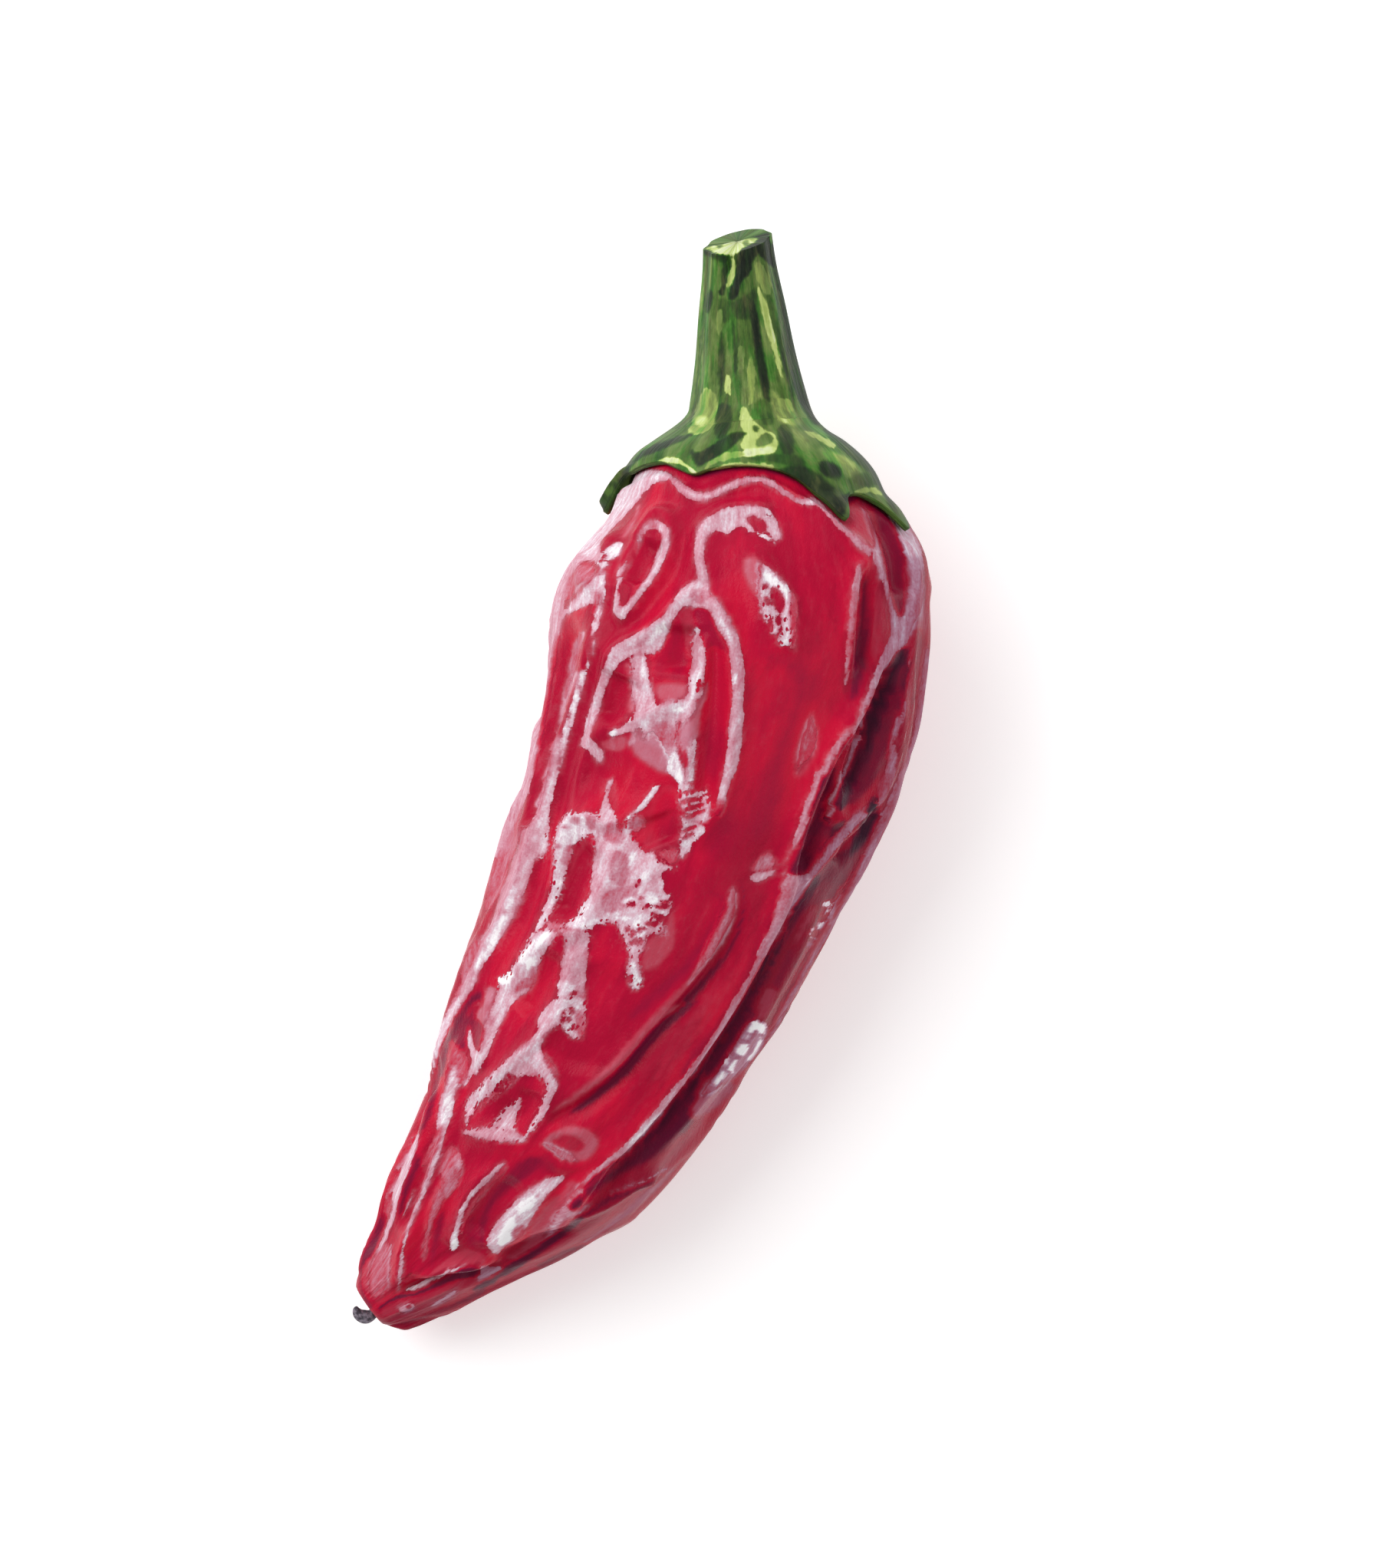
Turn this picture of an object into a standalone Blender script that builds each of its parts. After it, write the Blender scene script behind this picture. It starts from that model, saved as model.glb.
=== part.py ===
"""A ripe, wrinkled chili pepper lying on its side: the red pod, the green calyx with its cut stalk,
and the dry remnant of the flower's style at the tip.

Metres, +Z up. The origin is on the surface it lies on, under the pepper's weight. The line from the
tip to the cut stalk runs along +Y, and the pod bows towards +X.

A place on the pod is a station, the distance along the axis from the calyx, and an angle round the
axis, 0 on top and positive towards +X.
"""

import math

import bmesh
import bpy
import numpy as np
from mathutils import Vector, noise

MM = 0.001

# The axis seen from above, from the calyx to the tip: four points of one Bezier curve.
AXIS = np.array([(-4.3, 31.6), (7.8, 5.9), (-0.2, -34.5), (-9.9, -48.9)]) * MM
# Station and height of the axis over the surface, from the cut stalk to the tip.
AXIS_HEIGHT = np.array(
    [(-20, 20.1), (-8, 16.7), (0, 15.3), (15, 14.7), (30, 13.9), (50, 12.0), (70, 9.1), (84, 6.3)]
) * MM

# Station, half width towards +X and half width towards -X of the pod, from the pole under the calyx
# to the dimple that the style stands in.
POD_PROFILE = np.array(
    [
        (-2.4, 0.0, 0.0),
        (-2.15, 3.1, 4.0),
        (-1.6, 4.9, 6.6),
        (-0.8, 6.5, 8.6),
        (0.2, 7.95, 9.7),
        (2.0, 9.9, 10.5),
        (3.7, 11.0, 11.2),
        (5.0, 12.7, 11.8),
        (8.0, 14.85, 13.45),
        (11.5, 15.3, 15.05),
        (16.0, 15.65, 15.75),
        (22.0, 15.85, 15.5),
        (30.0, 14.6, 14.75),
        (34.0, 13.95, 14.3),
        (38.0, 13.65, 14.2),
        (46.0, 13.05, 13.25),
        (54.0, 12.2, 11.95),
        (61.0, 11.25, 10.3),
        (64.0, 10.7, 9.2),
        (67.0, 9.55, 8.55),
        (70.0, 8.25, 7.8),
        (73.0, 6.7, 7.0),
        (76.0, 5.2, 5.85),
        (78.0, 4.35, 4.7),
        (80.0, 3.6, 3.85),
        (81.7, 3.05, 3.15),
        (82.9, 2.7, 2.6),
        (83.7, 2.4, 2.4),
        (84.1, 2.0, 2.0),
        (84.05, 1.5, 1.5),
        (83.7, 1.05, 1.05),
        (83.3, 0.55, 0.55),
        (83.15, 0.0, 0.0),
    ]
) * MM
POD_FLATTENING = 0.97
POD_SEGMENTS = 76
POD_RINGS = 72
# The angles between the segments are smaller on top, by this share.
POD_CROWDING = 0.3

# Ridges of the shrunken skin: height and half width in mm, then a route of stations in mm and
# angles in degrees. A route that ends where it began is a ring.
RIDGES = {
    "collar": (0.7, 1.1, [(2.4, -76), (1.4, -64), (0.9, -52), (1.3, -43), (2.7, -34), (3.6, -25),
                          (3.6, -18), (2.9, -9), (2.1, 0), (2.6, 8), (3.9, 17), (4.5, 24), (5.6, 30),
                          (7.0, 36), (8.0, 42), (9.8, 49), (12.8, 55)]),
    "left_oval": (0.7, 0.95, [(5.2, -43), (6.0, -34), (9.0, -31), (12.5, -35), (15.6, -40.5),
                              (12.5, -44.5), (9.0, -46), (5.2, -43)]),
    "left_upper": (0.75, 1.0, [(6.5, -64), (9.5, -58), (12.0, -53), (16.0, -50.5)]),
    "left_fork": (0.7, 1.1, [(9.5, -80), (12.0, -66), (13.2, -54)]),
    "left_long": (1.15, 1.5, [(13, -52), (17, -50.5), (21, -52), (26, -55), (31, -58.5), (36, -59),
                              (41, -57.5), (46, -59), (50, -62), (54, -66), (58, -72), (62, -82)]),
    "left_side": (0.7, 1.4, [(17, -84), (24, -82), (31, -77), (37, -70), (41, -66)]),
    "trunk": (0.75, 1.3, [(5.6, 10), (4.8, 0), (5.0, -10), (6.5, -17.5), (9.0, -18.5), (12, -15)]),
    "right_branch": (0.95, 1.15, [(12, -15), (13.5, -9), (16, -4), (20, 1), (25, 5), (30, 6.5), (34, 4)]),
    "left_branch": (0.9, 1.15, [(12, -15), (13.5, -22), (16.5, -29), (18.5, -40), (22, -44), (28.5, -48)]),
    "inner_line": (0.6, 0.95, [(15, -14), (18, -10), (22, -10), (26, -8), (30, -4), (35, -1)]),
    "cross_bar": (0.6, 1.1, [(28.6, -47), (27, -40), (25.5, -33), (24.5, -26), (22.8, -18), (21.8, -11)]),
    "mid_arch": (0.7, 1.05, [(46, -37), (42, -39), (38, -43.5), (35.5, -42), (34.6, -34), (34.6, -27),
                             (33, -21), (30.5, -16)]),
    "mid_diagonal": (0.7, 1.25, [(34.5, -27), (37, -21), (40, -20), (44, -22), (46, -30), (49, -38),
                                 (53, -45)]),
    "mid_patch": (0.45, 1.8, [(36, -12), (39, -4), (43, 0), (47, 4)]),
    "mid_tail": (0.7, 1.1, [(44.5, -22), (48, -19), (52, -16), (55.5, -20), (57.5, -24), (60, -29),
                            (63.5, -36)]),
    "low_arch": (0.7, 0.95, [(56.2, -19), (56.4, -12), (58, -4.5), (61, -1.5), (63.4, -3)]),
    "low_bar": (0.55, 1.1, [(63.5, -36), (65, -28), (64.6, -16), (63.4, -3)]),
    "low_stroke": (0.55, 0.95, [(53.5, -53), (57, -45), (60.5, -38.5)]),
    "low_left": (0.95, 0.95, [(58, -66), (61, -60), (63.5, -52), (66.5, -44), (70, -38.5), (73.5, -33.5),
                             (77, -27), (79, -15), (80, -4), (79.6, 6)]),
    "far_left_low": (0.6, 1.2, [(64, -76), (68, -64), (72, -58), (77, -50)]),
    "crescent": (0.75, 0.95, [(66, -3), (68.5, -7), (71.5, -4.5), (73.3, 1), (74.6, 9)]),
    "low_centre": (0.45, 1.0, [(67.5, -28), (70, -26), (73, -22), (75.5, -13)]),
    "low_bulge": (0.75, 1.6, [(64, 27), (67, 21), (70.5, 22), (72.3, 33)]),
    "faint_ring": (0.4, 0.95, [(59.8, 18), (61.4, 29), (63, 18), (61.4, 7), (59.8, 18)]),
    "right_main": (1.5, 1.25, [(13.5, 60), (15.5, 52), (18.5, 46), (21, 40), (25, 36.5), (29, 36.5),
                               (33, 40), (37, 44.5), (42, 46), (48, 45), (54, 43), (59, 39), (63.5, 36),
                               (65.5, 37), (67.5, 43), (69.5, 50)]),
    "right_hook": (0.8, 0.95, [(17, 50), (21, 45.5), (25, 44), (27.5, 48), (27.5, 55), (26, 62)]),
    "right_band": (0.95, 1.25, [(35, 46), (32, 50), (29.5, 56), (27, 64), (23.5, 70), (19.5, 66), (14, 62)]),
    "right_stripe": (0.7, 1.0, [(8, 42), (10, 36.5), (14, 35.5), (18, 38)]),
    "right_edge": (0.75, 1.5, [(5, 66), (9, 68), (14, 66), (19, 74), (26, 82), (34, 84), (44, 82)]),
    "right_low": (0.8, 0.95, [(67, 42), (63.5, 52), (61, 60), (59.5, 74)]),
    "right_flank": (0.55, 1.4, [(34, 68), (40, 66), (46, 64), (52, 62), (58, 58)]),
    "tip_right": (0.95, 0.85, [(79.6, 6), (77, 16), (75, 28), (73.8, 40), (72.5, 54)]),
    "fold_line": (0.6, 1.0, [(35.5, 21), (39, 25), (43, 24), (48, 19.5), (53, 15), (57.5, 9)]),
    "small_oval": (0.45, 0.85, [(8.6, 2), (10.5, 9), (13, 14), (15.6, 16), (14.5, 9), (12, 4), (8.6, 2)]),
}

# Hollows between the ridges, in the same form, with depths.
HOLLOWS = {
    "left_oval": (1, 2.1, [(7.5, -38), (12.5, -40)]),
    "round_oval": (0.7, 1.7, [(4.5, -27), (9, -25), (13, -30), (17, -42), (15, -47.5), (9, -50)]),
    "upper_cell": (1, 2.2, [(15.5, -19), (20, -17)]),
    "left_cell": (1, 2.2, [(21, -37), (26, -40)]),
    "branch_slot": (0.7, 1.2, [(15, -9), (20, -5), (26, -1.5), (31, 1)]),
    "belly_left": (0.75, 2.2, [(31, -46), (31, -34), (31.5, -25)]),
    "belly_cell": (0.55, 1.8, [(32.5, -13), (34.5, -6)]),
    "deep_cell": (1.15, 1.8, [(36.8, -31), (41, -34), (44.5, -33)]),
    "left_groove": (0.75, 1.5, [(18, -46), (24, -50), (31, -53.5), (38, -52), (45, -50), (50, -54)]),
    "left_wedge": (1.15, 1.7, [(16, -64), (22, -70), (29, -69), (35, -65), (38, -62.5)]),
    "low_cell": (0.8, 2.0, [(47, -28), (54, -32)]),
    "low_slope": (0.55, 3.0, [(46, -14), (52, -6), (56, 2)]),
    "low_arch": (0.7, 1.6, [(59, -11), (61.5, -8), (62.3, -22)]),
    "crease": (1.15, 1.0, [(35.5, 25), (40, 29), (44, 27.5), (49, 22), (54, 18), (58, 12), (61, 2)]),
    "right_upper": (1.1, 1.0, [(9, 41), (13, 40.5), (17, 42.5)]),
    "right_cell": (1, 1.8, [(4.8, 57), (11, 59)]),
    "right_pit": (1.75, 1.6, [(15.5, 60), (19, 53), (23, 49.5), (26, 51)]),
    "right_slot": (1.35, 0.95, [(21.5, 43), (26, 40.5), (30, 42), (33.5, 45.5)]),
    "right_spot": (1.35, 1.6, [(26, 73), (29, 66), (31, 60)]),
    "right_long": (1.95, 1.5, [(33.5, 51), (39, 51), (45, 50.5), (51, 49.5), (56, 47), (60, 44), (64, 41)]),
    "right_foot": (1.2, 1.2, [(66.5, 53), (70, 50), (74, 47), (77, 42)]),
    "tip_cleft": (1.2, 0.9, [(82, 6), (79.4, 20), (77.2, 30), (75.6, 40)]),
    "low_groove": (0.8, 1.2, [(64, -60), (69, -51), (74, -43), (77, -38)]),
    "low_middle": (0.7, 1.6, [(66, 8), (70, 8), (72.5, 13)]),
}

# The net of ridges on the sides and the underside.
NET_CELL = 8.0 * MM
NET_STRETCH = 0.5
NET_HEIGHT = 1.1 * MM
NET_LINE = 0.3
NET_HOLLOW = 0.8
NET_SEED = 1795623883  # of the vector noise that bends the net's cells
NET_FROM, NET_FULL = math.radians(72), math.radians(100)
NET_ON_FRONT = 0.12
SWELL_HEIGHT = 0.35 * MM
SWELL_SIZE = 11.0 * MM
# The relief starts this far beyond the calyx's rim, reaches full height and ends before the tip.
RELIEF_CLEARANCE = 0.8 * MM
RELIEF_START = 1.4 * MM
RELIEF_END = 1.6 * MM
# Below this height the relief is flattened by this share, where the pod rests.
REST_HEIGHT = 3.0 * MM
REST_BLEND = 2.5 * MM
REST_SHARE = 0.8

# Round the calyx: angle in degrees and station of its rim in mm. Its five teeth reach furthest.
CALYX_RIM = [
    (-162, 1.0), (-148, 2.2), (-136, 4.6), (-124, 2.4), (-112, 2.0), (-98, 5.2), (-87, 1.4), (-75, 0.7),
    (-60, 0.3), (-46, 0.4), (-36, 1.1), (-27, 1.7), (-20, 1.4), (-13, 1.25), (0, 1.3), (14, 1.9),
    (24, 3.0), (30, 4.3), (36, 5.8), (41, 4.5), (50, 3.8), (61, 4.5), (71, 6.2), (80, 4.8), (90, 3.4),
    (112, 1.8), (130, 2.6), (146, 4.8), (160, 2.4), (176, 1.0),
]
CALYX_GAP = 0.3 * MM
CALYX_THICKNESS = 0.85 * MM
CALYX_ROOT_THICKNESS = 0.95 * MM
CALYX_ROOT_STATION = -1.5 * MM
# One tooth arches away from the pod and back: where each starts, as a share of the way to the rim, and
# over how much of it, and how much of the lift its tip loses.
CURLED_TOOTH_ANGLE = math.radians(-97)
CURLED_TOOTH_SPREAD = math.radians(13)
CURLED_TOOTH_LIFT = 1.2 * MM
CURLED_TOOTH_UP = (0.76, 0.14)
CURLED_TOOTH_BACK = (0.9, 0.1)
CURLED_TOOTH_LOSS = 0.5

# Station and radius of the stalk, and its cut, which slopes towards the front and the +X side.
STALK_PROFILE = np.array(
    [(-19.7, 2.8), (-16.7, 3.05), (-12.7, 3.68), (-8.7, 4.27), (-5.7, 4.87), (-4.3, 5.2), (-3.2, 5.6)]
) * MM
STALK_CUT = -18.6 * MM
STALK_CUT_FRONT = 1.1 * MM
STALK_CUT_SIDE = -0.4 * MM
STALK_RIBS = 8
STALK_RIB_SHARE = 0.045
# How far the stalk's foot stands towards +X from the line of the axis, and its turn along its length.
STALK_SHIFT = 0.3 * MM
STALK_TURN = 0.022
NOTCH_ANGLE = math.radians(-14)
NOTCH_SPREAD = math.radians(13)
NOTCH_LENGTH = 3.4 * MM
NOTCH_DEPTH = 0.9 * MM
CALYX_SEGMENTS = 72
CUT_RINGS, STALK_RINGS, CAP_RINGS, LINING_RINGS = 3, 9, 8, 9

# Centre line of the dry style remnant and its thickness along it.
STYLE_ROUTE = np.array(
    [
        (-9.93, -48.95, 6.48),
        (-9.83, -49.8, 6.3),
        (-9.92, -50.3, 6.2),
        (-10.33, -50.64, 6.3),
        (-10.87, -50.64, 6.5),
        (-11.24, -50.36, 6.8),
        (-11.38, -49.98, 7.1),
    ]
) * MM
STYLE_RADIUS = np.array([0.3, 0.4, 0.52, 0.62, 0.55, 0.42, 0.3]) * MM
STYLE_SEGMENTS = 14
STYLE_RINGS = 18

COLOURS = {
    "pod": ((0.42, 0.006, 0.018, 1), 0.28),
    "calyx_and_stalk": ((0.06, 0.15, 0.025, 1), 0.5),
    "style_remnant": ((0.05, 0.035, 0.05, 1), 0.8),
}


def smooth_curve(knots, values, at):
    """Reads a smooth curve through the values at their knots."""
    knots = np.asarray(knots, float)
    values = np.asarray(values, float).reshape(len(knots), -1)
    slopes = np.gradient(values, knots, axis=0)
    at = np.clip(at, knots[0], knots[-1])
    start = np.clip(np.searchsorted(knots, at, side="right") - 1, 0, len(knots) - 2)
    step = (knots[start + 1] - knots[start])[..., None]
    t = (at - knots[start])[..., None] / step
    return (
        values[start] * (1 + 2 * t) * (1 - t) ** 2
        + values[start + 1] * t * t * (3 - 2 * t)
        + slopes[start] * step * t * (1 - t) ** 2
        - slopes[start + 1] * step * t * t * (1 - t)
    )


def ease(share):
    """A smooth step from 0 to 1."""
    share = np.clip(share, 0, 1)
    return share * share * (3 - 2 * share)


def chord_lengths(points):
    """Distance along a line of points, from 0 at the first."""
    return np.concatenate([[0], np.cumsum(np.linalg.norm(np.diff(points, axis=0), axis=1))])


def bezier(t):
    """Point and direction of the axis seen from above, at t from 0 to 1."""
    t = t[:, None]
    a, b, c, d = AXIS
    point = (1 - t) ** 3 * a + 3 * (1 - t) ** 2 * t * b + 3 * (1 - t) * t * t * c + t**3 * d
    way = (1 - t) ** 2 * (b - a) + 2 * (1 - t) * t * (c - b) + t * t * (d - c)
    return point, way / np.linalg.norm(way, axis=1)[:, None]


AXIS_STEPS = np.linspace(0, 1, 400)
AXIS_LENGTHS = chord_lengths(bezier(AXIS_STEPS)[0])


def on_axis(station, side, up):
    """The point beside and above the axis at a station. Past its ends the axis runs on straight."""
    shape = np.shape(station)
    station, side, up = (np.ravel(np.broadcast_to(x, shape)) for x in (station, side, up))
    within = np.clip(station, 0, AXIS_LENGTHS[-1])
    point, way = bezier(np.interp(within, AXIS_LENGTHS, AXIS_STEPS))
    point = point + way * (station - within)[:, None]
    across = np.stack([-way[:, 1], way[:, 0]], axis=1)
    height = smooth_curve(AXIS_HEIGHT[:, 0], AXIS_HEIGHT[:, 1], station)[:, 0]
    placed = np.column_stack([point + across * side[:, None], height + up])
    return placed.reshape(shape + (3,))


POD_KNOTS = chord_lengths(POD_PROFILE[:, :2])
POD_KNOTS = POD_KNOTS / POD_KNOTS[-1]


def pod_base(share, angle):
    """The pod without its folds, at a share of the way along its profile from the calyx pole."""
    share, angle = np.broadcast_arrays(share, angle)
    station, right, left = np.moveaxis(smooth_curve(POD_KNOTS, POD_PROFILE, share), -1, 0)
    middle, lean = (right + left) / 2, (right - left) / 2
    side = (middle + lean * np.sin(angle)) * np.sin(angle)
    return on_axis(station, side, POD_FLATTENING * middle * np.cos(angle))


def station_of(share):
    return smooth_curve(POD_KNOTS, POD_PROFILE[:, 0], share)[..., 0]


SHARES = np.linspace(0, 1, 600)
STATIONS = np.maximum.accumulate(station_of(SHARES))


def share_of(station):
    return np.interp(station, STATIONS, SHARES)


def pod_normal(share, angle):
    """The outward direction of the pod without its folds."""
    share = np.clip(share, 0.002, 0.998)
    along = pod_base(share + 0.001, angle) - pod_base(share - 0.001, angle)
    round_it = pod_base(share, angle + 0.01) - pod_base(share, angle - 0.01)
    normal = np.cross(along, round_it)
    return normal / np.linalg.norm(normal, axis=-1)[..., None]


def fold_relief(points, folds):
    """Height of a set of folds at points on the pod. Where folds cross, the taller one leads."""
    samples_per_step, blend = 14, 4
    total = np.zeros(len(points))
    for height, width, route in folds.values():
        route = np.array(route, float) * (MM, math.pi / 180)
        steps = np.arange(len(route))
        at = np.linspace(0, steps[-1], samples_per_step * len(route))
        if np.allclose(route[0], route[-1]):
            route = np.concatenate([route[-2:-1], route, route[1:2]])
            steps = np.arange(-1, len(steps) + 1)
            strength = np.ones(len(at))
        else:
            strength = ease(np.minimum(at, steps[-1] - at) / (0.22 * steps[-1]) + 0.15)
        station, angle = smooth_curve(steps, route, at).T
        track = pod_base(share_of(station), angle)
        reach = 3 * width * MM
        near = np.all((points > track.min(0) - reach) & (points < track.max(0) + reach), axis=1)
        if not near.any():
            continue
        gaps = np.linalg.norm(points[near][:, None] - track[None], axis=2)
        closest = gaps.argmin(axis=1)
        gap = gaps[np.arange(len(gaps)), closest]
        total[near] += (height * MM * strength[closest] * np.exp(-((gap / (width * MM)) ** 2))) ** blend
    return total ** (1 / blend)


def net_relief(station, angle):
    """Ridges along the borders of long cells, with hollows inside them."""
    radius = POD_PROFILE[:, 1].max()
    relief = np.zeros(len(station))
    for i, (s, a) in enumerate(zip(station, angle)):
        place = Vector((math.cos(a) * radius, math.sin(a) * radius, s * NET_STRETCH)) / NET_CELL
        place += 0.35 * noise.noise_vector(place * 1.3)
        nearest, second = noise.voronoi(place)[0][:2]
        border = second - nearest
        relief[i] = math.exp(-((border / NET_LINE) ** 2)) - NET_HOLLOW * min(1, border)
    return relief * NET_HEIGHT


def swell_relief(points):
    """The slow uneven swelling of the whole pod."""
    return np.array([noise.noise(Vector(p) / SWELL_SIZE) for p in points]) * SWELL_HEIGHT


def calyx_rim(angle):
    """Station of the calyx's rim."""
    degrees, station = np.array(CALYX_RIM, float).T
    degrees = np.concatenate([degrees - 360, degrees, degrees + 360])
    return smooth_curve(degrees, np.tile(station, 3) * MM, np.degrees(angle))[..., 0]


def pod_skin(share, angle):
    """The wrinkled pod, with the flat spot that it rests on."""
    base = pod_base(share, angle)
    station = station_of(share)
    behind = ease((np.abs(angle) - NET_FROM) / (NET_FULL - NET_FROM))
    relief = fold_relief(base, RIDGES) - fold_relief(base, HOLLOWS)
    netted = NET_ON_FRONT + (1 - NET_ON_FRONT) * behind
    relief = relief + netted * net_relief(station, angle) + swell_relief(base)
    bare = ease((station - calyx_rim(angle) - RELIEF_CLEARANCE) / RELIEF_START)
    closing = ease((STATIONS[-1] - station) / RELIEF_END)
    resting = 1 - REST_SHARE * ease((REST_HEIGHT - base[:, 2]) / REST_BLEND)
    skin = base + pod_normal(share, angle) * (relief * bare * closing * resting)[:, None]
    skin[:, 2] = np.maximum(skin[:, 2], 0)
    return skin


def new_object(name, segments, rings, place):
    """A UV sphere whose vertices are moved to place(ring, angle). Ring 0 is its first pole."""
    bm = bmesh.new()
    bmesh.ops.create_uvsphere(bm, u_segments=segments, v_segments=rings, radius=1)
    co = np.array([v.co for v in bm.verts])
    ring = np.rint(np.arccos(np.clip(co[:, 2], -1, 1)) / math.pi * rings).astype(int)
    angle = np.arctan2(co[:, 0], co[:, 1])
    for vertex, point in zip(bm.verts, place(ring, angle)):
        vertex.co = point
    if bm.calc_volume(signed=True) < 0:
        bmesh.ops.reverse_faces(bm, faces=bm.faces)
    mesh = bpy.data.meshes.new(name)
    bm.to_mesh(mesh)
    bm.free()
    mesh.shade_smooth()
    mesh.materials.append(new_material(name))
    obj = bpy.data.objects.new(name, mesh)
    bpy.data.collections["chili_pepper"].objects.link(obj)
    return obj


def new_material(name):
    colour, roughness = COLOURS[name]
    material = bpy.data.materials.new(name)
    material.use_nodes = True
    shader = material.node_tree.nodes["Principled BSDF"]
    shader.inputs["Base Color"].default_value = colour
    shader.inputs["Roughness"].default_value = roughness
    return material


def build_pod():
    def place(ring, angle):
        return pod_skin(ring / POD_RINGS, angle - POD_CROWDING * np.sin(angle))

    new_object("pod", POD_SEGMENTS, POD_RINGS, place)


def stalk_point(along, angle):
    """The stalk's side, from its cut at along 0 to the calyx at along 1."""
    cut = STALK_CUT + STALK_CUT_FRONT * np.cos(angle) + STALK_CUT_SIDE * np.sin(angle)
    station = cut + (STALK_PROFILE[-1, 0] - cut) * along
    radius = smooth_curve(STALK_PROFILE[:, 0], STALK_PROFILE[:, 1], station)[..., 0]
    radius = radius * (1 + STALK_RIB_SHARE * np.cos(STALK_RIBS * angle) * (1 - 0.5 * along))
    notch = ease(1 - (station - cut) / NOTCH_LENGTH) * np.exp(-(((angle - NOTCH_ANGLE) / NOTCH_SPREAD) ** 2))
    radius = radius - NOTCH_DEPTH * notch
    side = radius * np.sin(angle) + STALK_SHIFT - STALK_TURN * station
    return on_axis(station, side, radius * np.cos(angle))


def calyx_lift(along, angle):
    """Height of the calyx's lining over the pod. One tooth arches away from it."""
    curl = np.exp(-(((angle - CURLED_TOOTH_ANGLE) / CURLED_TOOTH_SPREAD) ** 2))
    (up, rise), (back, fall) = CURLED_TOOTH_UP, CURLED_TOOTH_BACK
    curl = curl * ease((along - up) / rise) * (1 - CURLED_TOOTH_LOSS * ease((along - back) / fall))
    return (CALYX_GAP + CURLED_TOOTH_LIFT * curl)[:, None]


def cap_point(along, angle):
    """The calyx's outside, from its root at along 0 to its rim at along 1."""
    root, rim = share_of(CALYX_ROOT_STATION), share_of(calyx_rim(angle))
    share = root + (rim - root) * along
    thickness = CALYX_THICKNESS + (CALYX_ROOT_THICKNESS - CALYX_THICKNESS) * (1 - along) ** 3
    return pod_base(share, angle) + pod_normal(share, angle) * (calyx_lift(along, angle) + thickness[:, None])


def lining_point(along, angle):
    """The calyx's lining over the pod's shoulder, from the pod's pole at along 0 to the rim."""
    share = share_of(calyx_rim(angle)) * along
    return pod_base(share, angle) + pod_normal(share, angle) * calyx_lift(along, angle)


def calyx_skin(ring, angle):
    """Cut face, stalk, outside of the calyx, and the lining that lies on the pod."""
    rim = stalk_point(np.zeros(len(angle)), angle)
    heart = rim[ring == CUT_RINGS].mean(axis=0)
    points = heart + (rim - heart) * np.minimum(ring / CUT_RINGS, 1)[:, None]
    first = CUT_RINGS
    on_stalk = (ring > first) & (ring <= first + STALK_RINGS)
    points[on_stalk] = stalk_point((ring[on_stalk] - first) / STALK_RINGS, angle[on_stalk])
    first += STALK_RINGS
    on_cap = (ring > first) & (ring <= first + CAP_RINGS)
    points[on_cap] = cap_point((ring[on_cap] - first) / CAP_RINGS, angle[on_cap])
    first += CAP_RINGS + 1
    on_lining = ring >= first
    points[on_lining] = lining_point(1 - (ring[on_lining] - first) / LINING_RINGS, angle[on_lining])
    return points


def build_calyx():
    rings = CUT_RINGS + STALK_RINGS + CAP_RINGS + 1 + LINING_RINGS
    new_object("calyx_and_stalk", CALYX_SEGMENTS, rings, calyx_skin)


def style_skin(ring, angle):
    """A bent stub with rounded ends."""
    along = ring / STYLE_RINGS
    knots = np.linspace(0, 1, len(STYLE_ROUTE))
    centre = smooth_curve(knots, STYLE_ROUTE, along)
    way = smooth_curve(knots, STYLE_ROUTE, along + 0.02) - smooth_curve(knots, STYLE_ROUTE, along - 0.02)
    way = way / np.linalg.norm(way, axis=1)[:, None]
    up = np.array([0, 0, 1.0]) - way * way[:, 2:]
    up = up / np.linalg.norm(up, axis=1)[:, None]
    across = np.cross(way, up)
    radius = smooth_curve(knots, STYLE_RADIUS, along) * np.sqrt(1 - (2 * along[:, None] - 1) ** 4)
    return centre + radius * (across * np.sin(angle)[:, None] + up * np.cos(angle)[:, None])


def build_style():
    new_object("style_remnant", STYLE_SEGMENTS, STYLE_RINGS, style_skin)


def main():
    noise.seed_set(NET_SEED)
    for obj in list(bpy.data.objects):
        bpy.data.objects.remove(obj, do_unlink=True)
    collection = bpy.data.collections.new("chili_pepper")
    bpy.context.scene.collection.children.link(collection)
    build_pod()
    build_calyx()
    build_style()


main()
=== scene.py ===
import math
import time

import bmesh
import bpy
import numpy as np
from mathutils import Matrix, Vector, noise


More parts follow.
